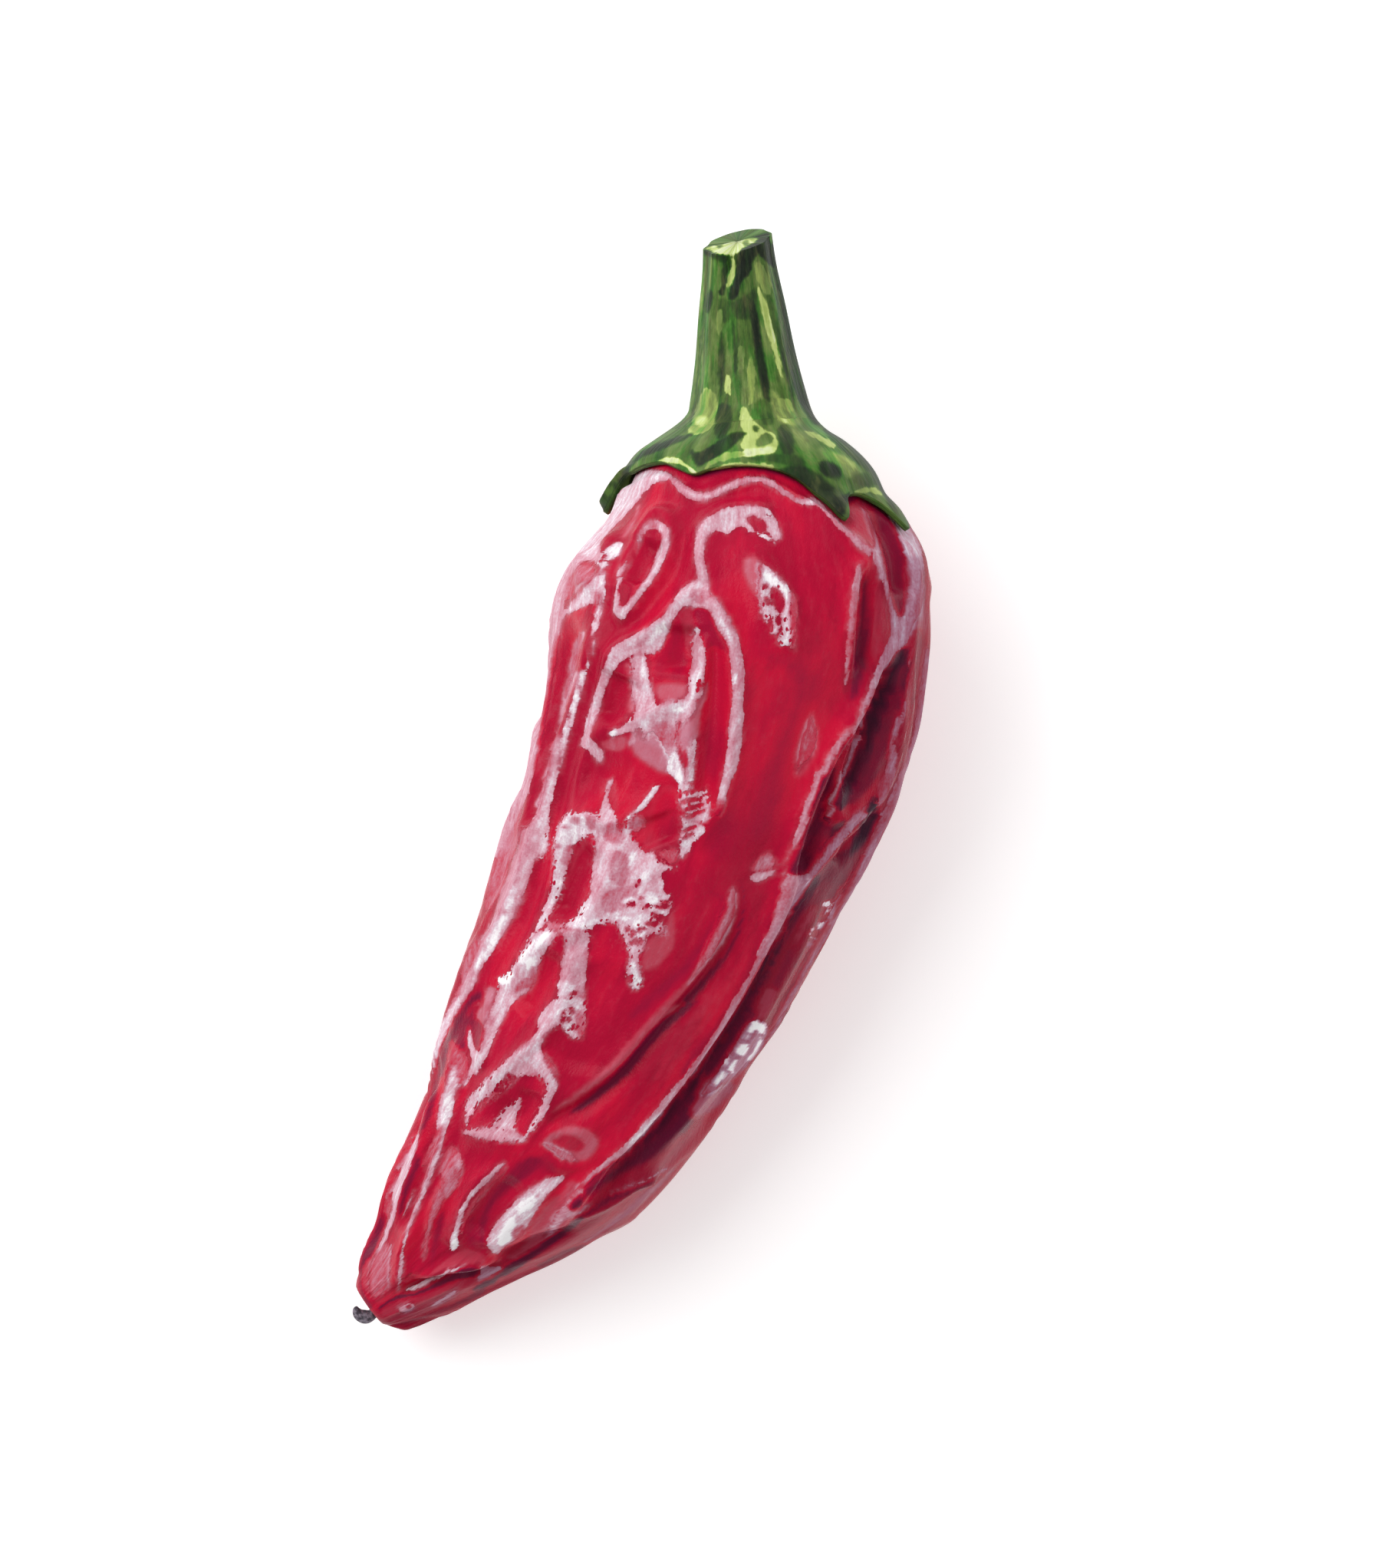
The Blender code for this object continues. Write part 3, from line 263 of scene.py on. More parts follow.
washes = {
    "upper left": """
    0.6 2: 805,635 838,635 825,657 807,677 791,692 784,704 782,720 787,732 759,731 746,747 738,761 734,779
      735,790 739,798 723,827 712,827 712,790 720,752 738,723 762,694 783,675 794,651;
    0.28 1.5: 762,730 775,738 775,747 766,758 753,761 743,785 736,782 734,769 741,755 751,744;
    0.95 1: 750,732 759,725 759,730 749,737;
    0.7 1.5: 790,752 781,747 770,756 738,793 736,804 770,786 779,790 784,766 790,766;
    0.32 1.5: 774,769 782,771 781,785 778,798 770,801 774,785;
    0.85 1: 791,711 811,704 812,714 805,726 794,732 789,728;
    0.85 1: 770,727 781,734 797,730 793,736 787,742 781,740;
    0.42 4: 754,825 770,823 767,844 721,967 725,935 745,876;
    0.5 4: 727,951 705,1020 697,1063 706,1063 730,967;
    -0.35 3: 765,822 767,827 766,844 759,862 751,876 751,865 759,844;
    0.5 2: 724,825 711,929 706,931 716,824;
    0.65 2: 711,928 708,945 683,1064 660,1064 684,1010 688,985 702,935;
    0.38 3: 836,656 832,672 825,688 813,704 805,703 818,688 826,675 830,660;
    0.7 1.2: 841,680 856,677 869,684 874,694 873,712 866,731 857,750 820,798 813,810 805,805 799,798 800,782
      804,761 804,743 821,728;
    -0.05 1.2: 845,690 854,690 862,697 862,707 856,718 847,747 823,777 814,792 808,787 808,769 812,753
      842,694;
    0.35 2: 844,680 856,678 858,688 848,690;
    0.58 1.5: 915,677 928,688 920,695 918,715 919,734 927,774 909,759 904,718 909,688;
    0.66 1.5: 909,755 893,763 880,777 877,790 866,803 813,836 794,844 755,968 775,988 781,998 789,985
      781,972 768,961 770,948 799,876 807,865 818,857 834,852 848,854 866,831 873,817 878,801 888,793
      899,788 904,793 923,795 939,817 952,846 953,862 956,908 949,951 948,975 940,1020 929,1064 941,1064
      952,1020 959,1007 965,985 969,956 970,921 965,876 958,833 941,801 936,782 927,774 920,758;
    0.4 3: 908,766 925,769 935,785 939,798 923,790 904,785 899,777;
    0.88 1.5: 928,801 939,811 956,846 952,846 931,814;
    0.97 1: 963,905 969,908 969,929 964,935 961,921;
    0.85 2: 877,793 873,811 865,827 853,844 845,852 837,849 848,841 861,827 870,811 874,798;
    0.82 1.2: 856,1024 842,1047 825,1064 836,1064 856,1039 864,1025;
    """,
    "left and middle": """
    0.33 1.5: 693,1013 682,1046 674,1084 676,1099 671,1115 664,1124 661,1140 652,1168 635,1190 630,1179
      639,1163 638,1143 644,1122 653,1110 653,1094 668,1043 685,1010;
    0.62 2: 695,1000 691,1015 667,1077 662,1066 670,1041 687,1000;
    0.6 2: 682,1074 685,1083 695,1068 703,1048 721,995 731,995 719,1038 700,1117 679,1179 649,1232 626,1265
      620,1283 607,1304 599,1310 593,1306 619,1242 642,1202 657,1154 676,1105 681,1087;
    0.5 3: 681,1084 695,1077 698,1097 662,1168 652,1194 639,1209 628,1230 610,1270 603,1281 616,1245
      642,1199;
    0.97 1.5: 721,997 730,997 718,1033 712,1043 714,1023;
    0.93 1.5: 684,1125 681,1142 654,1196 656,1186 676,1140;
    0.88 2: 656,1190 660,1194 657,1212 647,1231 619,1270 617,1263 621,1251;
    0.35 1.5: 624,1220 626,1230 619,1251 613,1265 606,1270 596,1297 582,1323 583,1332 579,1329 598,1281
      608,1242 617,1228;
    0.8 1.5: 605,1305 594,1327 582,1344 576,1357 568,1404 560,1404 567,1352 574,1334 597,1307;
    0.78 1.2: 727,1074 736,1064 746,1058 759,1060 766,1056 777,1062 783,1074 797,1074 804,1077 833,1066
      833,1199 818,1202 802,1198 779,1204 769,1212 764,1196 752,1191 758,1181 769,1168 778,1153 779,1140
      785,1122 786,1093 772,1086 759,1093 741,1107 745,1112 731,1166 711,1207 700,1214 682,1237 704,1199
      717,1163 721,1143 722,1122 720,1102;
    0.35 2: 764,1061 774,1064 783,1074 779,1084 769,1082 763,1071;
    0.3 1: 733,1077 740,1074 741,1079 735,1082;
    0.3 1: 747,1065 754,1064 755,1071 749,1077;
    0.3 1: 724,1101 730,1100 731,1105 726,1106;
    0.38 2: 737,1099 749,1102 742,1128 736,1133 733,1122 740,1110;
    0.4 2.5: 713,1199 728,1204 746,1203 733,1212 710,1212;
    0.15 2: 745,1112 769,1092 749,1128 744,1143 733,1163;
    0.45 2.5: 792,1158 810,1168 830,1166 830,1194 807,1191 789,1184;
    0.3 1: 798,1112 807,1110 818,1114 820,1133 818,1151 807,1156 798,1143;
    0.25 1: 818,1069 830,1061 833,1094 823,1089 818,1077;
    0 1: 806,1067 812,1065 815,1077 810,1081 807,1077;
    0 1: 796,1067 800,1068 800,1073 797,1072;
    0.3 1: 796,1087 807,1085 812,1094 805,1101 797,1097;
    0.95 1: 782,1128 795,1122 797,1143 792,1153 781,1145;
    0.92 1: 779,1176 795,1163 807,1161 797,1173 777,1190;
    0.8 1.5: 752,1194 769,1190 782,1198 756,1217 733,1208;
    0.55 2: 728,1212 746,1208 769,1214 769,1230 764,1276 763,1301 764,1329 762,1352 752,1355 746,1343
      733,1336 721,1341 711,1349 706,1362 707,1375 723,1403 657,1403 652,1388 662,1378 691,1356 705,1339
      717,1320 731,1288 728,1268 739,1226;
    0.78 2: 726,1278 744,1278 754,1286 741,1298 728,1301 721,1311 728,1293;
    1 1.2: 718,1315 726,1304 733,1302 740,1307 738,1321 728,1325 719,1324;
    0.85 1.2: 733,1319 746,1316 750,1332 756,1342 752,1350 728,1329;
    0.72 2: 705,1329 719,1321 728,1329 708,1349 704,1362 695,1364 691,1357 700,1344;
    0 0.6: 732,1319 736,1318 736,1324 733,1323;
    0 0.6: 742,1315 747,1313 748,1320 744,1321;
    0 0.6: 731,1330 736,1329 735,1334 732,1334;
    0 0.6: 739,1328 743,1327 742,1332 739,1332;
    0.05 0.6: 744,1338 749,1337 749,1342 744,1342;
    0.05 0.6: 742,1296 752,1292 751,1297 744,1300;
    0.3 2.5: 754,1296 763,1301 764,1332 760,1351 754,1353 750,1344;
    0.68 1.5: 710,1211 726,1212 723,1223 713,1237 699,1268 696,1288 672,1304 652,1329 637,1372 630,1388
      620,1403 616,1398 629,1367 633,1334 649,1293 650,1278 664,1269 676,1245 696,1217;
    0.9 1.5: 710,1214 721,1214 685,1255 677,1258 677,1247 690,1232;
    1 1: 649,1273 657,1277 664,1268 671,1267 667,1278 657,1284 650,1282;
    0.98 1: 686,1251 693,1246 699,1251 695,1261 687,1265 685,1258;
    0.3 1.5: 691,1261 698,1260 699,1276 696,1286 685,1288 672,1296 671,1288 680,1278 691,1273;
    0.45 3: 636,1286 648,1288 647,1298 642,1314 634,1316 629,1309 630,1296;
    -0.5 5: 603,1309 619,1293 630,1293 628,1309 619,1319 630,1334 630,1352 622,1365 610,1357 603,1370
      593,1367 587,1355 579,1403 570,1403 575,1370 582,1349;
    0.3 4: 606,1324 619,1306 628,1304 626,1316 608,1339;
    -0.35 3: 616,1327 628,1334 630,1349 624,1365 616,1357 615,1342;
    0.3 2.5: 593,1372 603,1378 610,1388 610,1403 587,1403 588,1383;
    0.8 1: 610,1344 615,1344 616,1362 622,1383 619,1398 614,1383;
    0.62 2: 642,1319 644,1334 642,1357 628,1393 622,1398 624,1378 629,1357 631,1337;
    """,
    "upper right": """
    0.72 1.5: 991,729 1030,764 1031,780 1030,821 1032,829 1028,837 1030,842 1022,843 1015,839 1013,831
      1007,826 1004,815 997,807 992,794 988,764 991,754 988,743;
    0.33 4: 969,727 988,724 996,740 988,764 991,778 980,772 972,756 968,740;
    0.3 1.5: 1030,767 1039,780 1042,796 1038,813 1037,847 1031,848 1030,842 1035,834 1031,821;
    0.9 1: 993,744 1004,748 1027,764 1029,788 1027,791 1023,780 996,754;
    0.92 1: 1027,807 1031,829 1028,837 1030,841 1022,843 1015,839 1024,834;
    0.02 1: 1005,767 1015,768 1022,780 1021,799 1016,799 1008,788 1005,778;
    0 0.7: 1005,766 1012,766 1010,772 1005,773;
    0.05 0.7: 995,762 1001,761 1000,767 996,768;
    0.05 0.7: 996,778 1003,778 1005,788 997,788;
    0.05 0.7: 1012,803 1018,804 1019,815 1013,815;
    0.05 0.7: 1001,806 1005,806 1008,818 1004,817;
    0.05 0.7: 1015,819 1020,819 1020,825 1015,824;
    0.05 0.7: 1009,826 1015,828 1015,833 1010,831;
    0.4 2: 997,697 1003,697 1004,705 999,705;
    0.58 2: 1101,697 1114,697 1133,711 1149,716 1151,724 1141,721 1127,716 1114,708;
    0.58 1.5: 1134,720 1149,717 1157,762 1168,799 1172,806 1178,802 1182,778 1181,746 1176,697 1189,697
      1200,716 1204,729 1205,788 1186,826 1184,839 1172,846 1165,855 1142,898 1130,928 1122,960 1117,957
      1133,904 1149,866 1151,850 1161,834 1162,818 1155,778 1150,759;
    0.42 3: 1184,807 1194,788 1204,729 1207,754 1206,850 1201,898 1186,984 1182,997 1176,995 1186,928
      1190,850;
    0.3 3: 1190,813 1205,802 1205,850 1200,893 1189,901 1186,861;
    0.5 1.5: 1113,738 1127,732 1115,813 1105,905 1098,888;
    -0.45 4: 1127,740 1133,780 1133,850 1119,909 1109,914 1107,898 1115,818;
    0.12 6: 1138,767 1150,762 1158,788 1161,818 1159,834 1138,866 1134,850;
    -0.3 2: 1149,705 1176,705 1180,740 1182,775 1178,799 1172,804 1165,788 1151,727;
    -0.85 4: 1184,841 1186,866 1185,898 1165,928 1127,968 1125,952 1130,928 1138,909 1168,855;
    -0.45 6: 1165,888 1184,898 1176,922 1165,941 1157,995 1149,1013 1093,1056 1127,963 1143,941;
    -1 3: 1176,846 1181,850 1178,861 1165,874 1127,949 1114,995 1103,1021 1094,1056 1089,1056 1095,1029
      1119,965 1127,936 1165,858;
    0.1 6: 1119,1016 1151,992 1158,1008 1119,1046 1106,1054;
    0.5 1.5: 1111,952 1122,957 1125,963 1117,973 1101,1011 1087,1070 1078,1075 1072,1064 1082,1056 1094,1016
      1111,973;
    0.48 1.5: 1182,898 1184,925 1169,960 1166,976 1172,984 1168,1000 1159,1016 1145,1056 1142,1051 1155,1003
      1161,957 1165,941 1174,928 1180,914;
    0.42 1: 1184,845 1188,845 1188,871 1186,904 1183,906;
    0.47 1.5: 1114,952 1103,965 1083,1000 1048,1086 1043,1105 1032,1105 1038,1083 1066,1011 1076,989
      1087,971 1101,954 1111,946;
    -0.55 3: 1111,956 1114,963 1094,995 1087,1016 1070,1056 1055,1102 1044,1105 1050,1086 1086,997;
    -0.2 3: 1110,965 1111,973 1101,997 1087,1038 1078,1056 1071,1056 1089,1008;
    0.42 2: 1141,1043 1130,1048 1082,1088 1071,1105 1084,1105 1098,1088 1114,1078 1130,1062 1146,1051;
    -0.95 4: 1141,1046 1151,1040 1141,1075 1130,1096 1117,1105 1109,1105 1133,1067;
    0.13 8: 1050,928 1063,933 1068,954 1063,984 1052,1011 1039,1013 1034,989 1038,957;
    0.3 2.5: 1058,928 1060,941 1066,954 1063,973 1055,989 1044,997 1035,1013 1042,984 1044,963 1052,949
      1054,933;
    -0.2 14: 980,850 1018,866 1034,888 1028,930 980,1048 969,1099 1001,1099 1018,1048 1026,995 1044,928
      1071,904 1066,871 1034,861;
    """,
    "right and middle": """
    0.8 1.2: 855,1023 841,1038 834,1051 826,1060 815,1068 817,1074 826,1064 836,1057 854,1036 859,1027;
    0.28 2.5: 815,1074 851,1046 859,1061 851,1084 838,1102 823,1089 823,1079;
    0.75 0.8: 882,1042 894,1036 910,1033 922,1028 924,1034 889,1043;
    0.75 0.8: 883,1050 897,1045 912,1041 924,1036 925,1042 894,1050;
    0.72 0.8: 894,1057 925,1043 928,1051 928,1071 922,1073 919,1065 907,1061 899,1062;
    0.6 1: 888,1070 897,1065 912,1065 921,1068 928,1074 920,1077 910,1073 897,1073 889,1077;
    0.78 1: 888,1084 897,1077 907,1073 915,1077 921,1083 912,1088 899,1102 883,1125 883,1110 887,1097;
    0.15 0.7: 888,1083 902,1078 902,1081 889,1087;
    0.15 0.7: 888,1092 902,1089 901,1092 888,1096;
    0.66 1.5: 800,997 800,1061 808,1074 815,1069 823,1082 826,1092 838,1110 855,1112 856,1120 866,1126
      882,1128 881,1133 866,1135 862,1143 865,1151 864,1158 871,1166 877,1179 875,1189 864,1194 861,1202
      868,1212 861,1219 851,1217 842,1222 840,1235 833,1245 832,1258 837,1270 838,1283 827,1293 819,1283
      815,1263 823,1250 808,1212 800,1202 777,1204 769,1143 777,1102 772,1084;
    0.35 2: 800,1107 813,1112 822,1133 820,1151 813,1157 803,1153 792,1143;
    0.35 2: 785,1077 800,1071 815,1084 813,1102 800,1099 787,1094;
    0.4 2.5: 800,1158 831,1151 833,1163 823,1179 805,1189 785,1189 785,1166;
    0.88 1.5: 823,1107 831,1110 828,1122 820,1135 820,1125;
    0.85 1.5: 828,1194 843,1189 848,1204 833,1230 827,1230 828,1214 823,1202;
    0.85 1.5: 838,1163 851,1163 861,1173 859,1189 846,1184 838,1176;
    0.85 1.2: 800,1196 820,1194 823,1199 805,1200;
    0.9 1: 822,1255 828,1255 831,1268 837,1281 828,1292 823,1283 826,1268;
    0.85 1: 808,1173 826,1168 828,1173 815,1179;
    0 0.7: 805,1068 813,1065 816,1074 811,1081 807,1079;
    0.15 1.2: 800,1020 808,1033 805,1051 800,1059 792,1038;
    0.05 0.7: 828,1151 836,1149 834,1154 829,1154;
    0.05 0.7: 852,1179 860,1179 860,1182 854,1182;
    0.05 0.7: 822,1217 828,1214 828,1219 823,1221;
    0.05 0.7: 837,1209 842,1209 842,1212 838,1213;
    0.05 0.7: 822,1226 824,1226 823,1232 821,1233;
    0.05 0.7: 833,1224 838,1224 837,1230 833,1230;
    0.05 0.7: 815,1209 820,1210 820,1214 815,1213;
    0.05 0.7: 840,1180 845,1180 844,1184 840,1184;
    0.05 0.7: 833,1170 837,1170 836,1173 833,1173;
    0.05 0.7: 820,1176 828,1179 827,1182 820,1182;
    0.05 0.7: 852,1189 860,1191 859,1195 852,1193;
    0.05 0.7: 847,1202 855,1203 854,1207 848,1206;
    0.1 1: 815,1273 823,1270 823,1283 817,1281;
    0.25 4: 842,1224 861,1219 874,1194 877,1179 882,1230 864,1255 838,1270 836,1253;
    0.62 1.2: 976,1139 1010,1133 1011,1139 982,1153;
    0.33 2: 979,1128 994,1112 1010,1110 1010,1133 979,1138;
    0.45 1.5: 995,1117 1004,1120 1004,1128 996,1128;
    0.5 2: 954,1156 958,1158 957,1173 959,1189 953,1204 933,1240 910,1265 894,1288 943,1186;
    0.3 4: 956,1163 966,1163 958,1204 933,1245 897,1288 851,1332 831,1357 815,1367 838,1339 907,1268
      938,1217 951,1189;
    -0.5 3: 963,1143 970,1163 968,1189 953,1230 943,1245 856,1339 808,1402 818,1402 861,1349 907,1301
      945,1255 958,1235 968,1209 971,1184 971,1158;
    -0.25 6: 922,1163 943,1168 933,1194 917,1219 902,1242 877,1268 831,1306 815,1329 831,1329 884,1283
      910,1255 943,1196 951,1173;
    0.25 6: 800,1378 864,1314 877,1314 800,1398;
    0.06 10: 963,1265 871,1342 851,1362 823,1403 877,1403 933,1329 973,1268 984,1245;
    -0.3 8: 1019,1143 1004,1194 973,1270 943,1321 902,1372 882,1403 902,1403 943,1349 973,1298 984,1255
      999,1224 1017,1173;
    0.5 1.5: 1070,997 1063,1010 1047,1048 1036,1094 1028,1110 1021,1145 1024,1153 1042,1153 1051,1140
      1058,1135 1091,1087 1121,1059 1132,1054 1129,1061 1098,1092 1060,1143 1045,1173 1017,1212 1014,1224
      1004,1245 963,1319 938,1355 920,1385 912,1403 897,1403 910,1385 953,1311 979,1273 989,1253 1022,1151
      1022,1128 1037,1087 1042,1064 1065,1000;
    0.75 2: 1058,1135 1063,1135 1050,1158 1042,1158 1040,1153 1049,1143;
    0.55 3: 1024,1158 1042,1158 1045,1168 1032,1186 1014,1204 1016,1189;
    -0.6 3: 1081,1005 1070,1020 1053,1082 1027,1143 1026,1151 1035,1148 1060,1084 1076,1033 1083,1015;
    -0.5 4: 1070,1046 1083,1069 1101,1066 1098,1077 1083,1092 1055,1133 1037,1151 1030,1148 1037,1128
      1053,1102;
    -0.3 4: 1076,1074 1091,1074 1083,1092 1055,1122 1060,1099;
    -0.8 2: 1093,1071 1104,1066 1101,1074 1086,1089 1081,1089;
    -0.05 3: 1093,1056 1116,1038 1132,1041 1119,1056 1101,1071 1083,1077 1083,1071;
    0.5 1.5: 1104,1003 1090,1038 1087,1066 1082,1061 1082,1048 1096,1008;
    -0.85 3: 1116,1000 1106,1015 1101,1033 1101,1048 1093,1055 1090,1048 1093,1028 1104,1005;
    -0.95 4: 1142,1036 1148,1046 1142,1059 1139,1074 1134,1087 1109,1122 1105,1117 1109,1102 1119,1084
      1132,1048;
    -0.5 5: 1068,1130 1106,1102 1109,1120 1081,1148 1055,1168 1045,1184;
    0.5 2: 1165,1000 1172,1000 1149,1054 1143,1060 1143,1048 1157,1010;
    0.3 2.5: 1155,1008 1164,1008 1157,1026 1149,1041 1143,1036 1147,1023;
    0.28 2.5: 1183,997 1167,1038 1109,1166 1096,1184 1073,1224 1017,1334 979,1403 971,1403 1042,1258
      1098,1163 1119,1122 1132,1102 1152,1054 1165,1028 1175,1000;
    0.55 2: 1143,1074 1148,1079 1124,1128 1118,1133 1127,1110;
    0.5 2: 1120,1143 1119,1151 1106,1171 1093,1186 1083,1204 1081,1202 1093,1179 1109,1156;
    -0.85 5: 1053,1158 1063,1158 1058,1173 1032,1202 1012,1237 984,1301 963,1329 961,1324 1012,1230
      1014,1217 1037,1186;
    -0.5 6: 963,1329 979,1319 986,1301 994,1306 984,1327 928,1403 912,1403;
    0.02 5: 1065,1179 1068,1194 1045,1230 1030,1245 1022,1258 1030,1230 1040,1209 1053,1189;
    -0.35 5: 1055,1230 1050,1245 1030,1278 1024,1276 1045,1237;
    0 5: 1030,1265 1024,1283 1002,1332 989,1329 994,1311 1004,1304 1019,1270;
    0.2 4: 994,1293 1004,1288 1017,1288 1012,1306 999,1306;
    -0.18 16: 933,1046 953,1051 973,1084 963,1110 938,1122 910,1107 907,1084;
    """,
    "upper middle": """
    -0.16 9: 852,862 872,825 888,810 900,855 898,880 890,892 865,895 852,880;
    0.16 6: 886,795 900,792 906,808 901,825 902,852 895,860;
    0.32 6: 858,888 895,890 900,900 895,915 865,918 852,905;
    0.36 5: 812,862 822,865 826,880 824,898 829,920 826,930 818,928 821,900 820,880;
    0.42 6: 822,952 852,950 875,982 876,1002 865,1010 848,1000 820,978;
    0.3 3: 782,966 815,958 821,966 812,979 800,980 788,976;
    0.38 3: 904,919 911,912 919,892 924,886 927,891 926,908 916,920 912,940 911,962 904,966 897,942;
    0.66 1.4: 754,969 794,846 815,842 840,827 860,810 880,780 900,780 879,805 872,825 865,840 858,850
      848,854 840,852 813,858 803,866 796,880 764,978;
    0.5 3: 815,846 840,832 858,818 865,810 860,822 848,835 835,842 818,850;
    0.86 1.4: 858,814 870,807 868,820 858,829 848,841 841,838;
    0.6 1.5: 915,780 933,780 950,802 963,830 969,855 972,885 969,920 953,1030 940,1030 954,940 956,910
      950,842 930,810;
    0.86 1.2: 940,804 953,825 957,839 950,832 938,811;
    0.98 0.8: 956,879 962,880 961,893 956,890;
    0.5 5: 822,940 840,925 870,919 900,920 906,1005 891,1028 870,1005 860,975 824,962;
    -0.22 1.2: 902,798 915,792 924,798 940,830 949,841 950,855 940,846 926,842 920,852 912,830 914,820;
    -0.14 6: 922,845 940,850 948,870 945,955 940,995 930,1015 920,1005 918,955 926,890;
    0.56 1.6: 822,852 822,862 825,875 821,890 828,920 826,932 835,942 872,968 877,985 871,1000 880,1014
      892,1023 894,1012 881,965 884,952 891,942 906,930 908,915 916,905 918,890 922,846 915,836 907,814
      901,838 903,852 896,892 898,902 893,912 870,914 858,919 856,916 844,872 843,858 846,852;
    0.62 1.4: 825,852 824,860 827,875 824,890 832,920 826,935 815,945 794,954 791,959 806,959 824,953
      826,960 820,972 828,961 832,946 838,952 840,966 848,952 858,960 872,985 876,998 868,1005 890,1026
      896,1015 891,998 880,975 880,955 885,943 893,940 893,935 904,932 900,928 906,915 912,905 916,890
      918,887 916,875 920,846 913,838 910,830 913,826 906,815 902,838 905,852 898,892 900,905 895,915
      870,918 858,922 852,920 858,915 850,902 842,872 840,858 843,852 832,851;
    0.36 4: 870,940 880,952 880,970 870,978 850,952 858,942;
    0.74 1.5: 905,873 913,876 916,886 912,898 900,920 892,923 890,920 898,912 902,900 900,888;
    0.8 1.5: 838,940 842,930 850,928 849,940 841,958 836,950;
    0.72 1.2: 828,855 838,855 840,870 850,905 848,910 840,898 835,880 830,870;
    0.74 1.5: 870,918 896,917 893,932 872,928 860,930 858,924;
    0.97 0.8: 906,815 913,824 910,826 907,822;
    1 0.7: 883,924 892,922 890,928 885,928;
    0.98 0.8: 794,955 800,951 806,952 803,958 796,958;
    0.92 0.8: 817,934 822,935 824,940 820,942;
    0.86 1.2: 875,980 882,980 888,992 892,1026 886,1026 882,1018 868,1005 872,994;
    0.78 1: 902,963 908,962 908,978 906,995 904,1018 900,1020 892,1020 894,1016 901,1015 898,985;
    0.06 0.8: 882,952 884,940 888,940 885,960 888,978 891,992 889,1001 882,970;
    0.08 0.8: 890,980 895,978 898,992 896,1002 892,1000;
    0.1 0.6: 910,890 915,888 916,893 912,902 909,902 910,896;
    """,
    "middle": """
    -0.12 1: 874,1019 884,1026 887,1044 884,1058 888,1075 887,1111 883,1129 871,1128 857,1120 854,1111
      836,1103 824,1090 822,1078 818,1070 824,1061 836,1060 856,1034 862,1022;
    0.1 1.2: 874,1021 883,1027 886,1044 883,1058 887,1075 886,1110 881,1127 872,1126 858,1119 855,1110
      837,1102 825,1090 823,1079 819,1070 825,1062 837,1061 857,1035 863,1023;
    0.3 1.2: 820,1070 825,1063 837,1061 845,1070 836,1084 828,1086;
    0.26 2: 858,1113 874,1104 886,1110 882,1126 872,1125 859,1118;
    -0.1 9: 862,1038 880,1035 883,1064 880,1096 862,1096 851,1075;
    0.92 0.8: 814,1067 828,1057 851,1029 857,1024 857,1029 845,1044 836,1057 825,1061 817,1070;
    0.74 1: 889,1073 903,1068 921,1078 919,1087 906,1096 900,1108 886,1123;
    0.06 0.7: 889,1082 903,1076 909,1078 890,1087;
    0.06 0.7: 889,1092 900,1086 905,1087 889,1096;
    0.74 1: 883,1022 903,1023 903,1029 889,1031 884,1035;
    0.7 1: 886,1038 903,1032 915,1035 923,1049 926,1067 920,1073 912,1071 903,1067 891,1073 886,1068
      903,1058 886,1055 884,1046;
    0.04 0.7: 886,1044 900,1039 915,1041 903,1045 889,1048;
    0.04 0.7: 891,1054 909,1048 920,1046 915,1051 900,1057;
    0.04 0.7: 891,1065 906,1060 918,1054 920,1057 900,1067;
    0.4 1.5: 799,1112 809,1110 819,1114 820,1136 817,1151 808,1154 799,1145 797,1128;
    0.45 2: 784,1174 799,1166 816,1166 810,1180 796,1186 784,1186;
    0.86 0.8: 861,1164 875,1166 874,1171 862,1173;
    0.84 0.8: 857,1186 868,1186 874,1191 865,1197 854,1209 851,1200 857,1194;
    0.05 0.6: 862,1176 875,1174 875,1177 864,1179;
    0.05 0.6: 857,1182 871,1180 874,1183 862,1185;
    0.05 0.6: 848,1193 862,1191 871,1200 862,1200;
    0.05 0.6: 841,1202 857,1201 862,1203 854,1207 842,1206;
    0.05 0.6: 822,1212 829,1213 829,1218 823,1218;
    0.05 0.6: 831,1208 836,1210 835,1215 831,1214;
    0.05 0.6: 826,1222 832,1224 831,1231 826,1229;
    0.92 1: 758,1203 781,1196 784,1200 773,1204 755,1215;
    """,
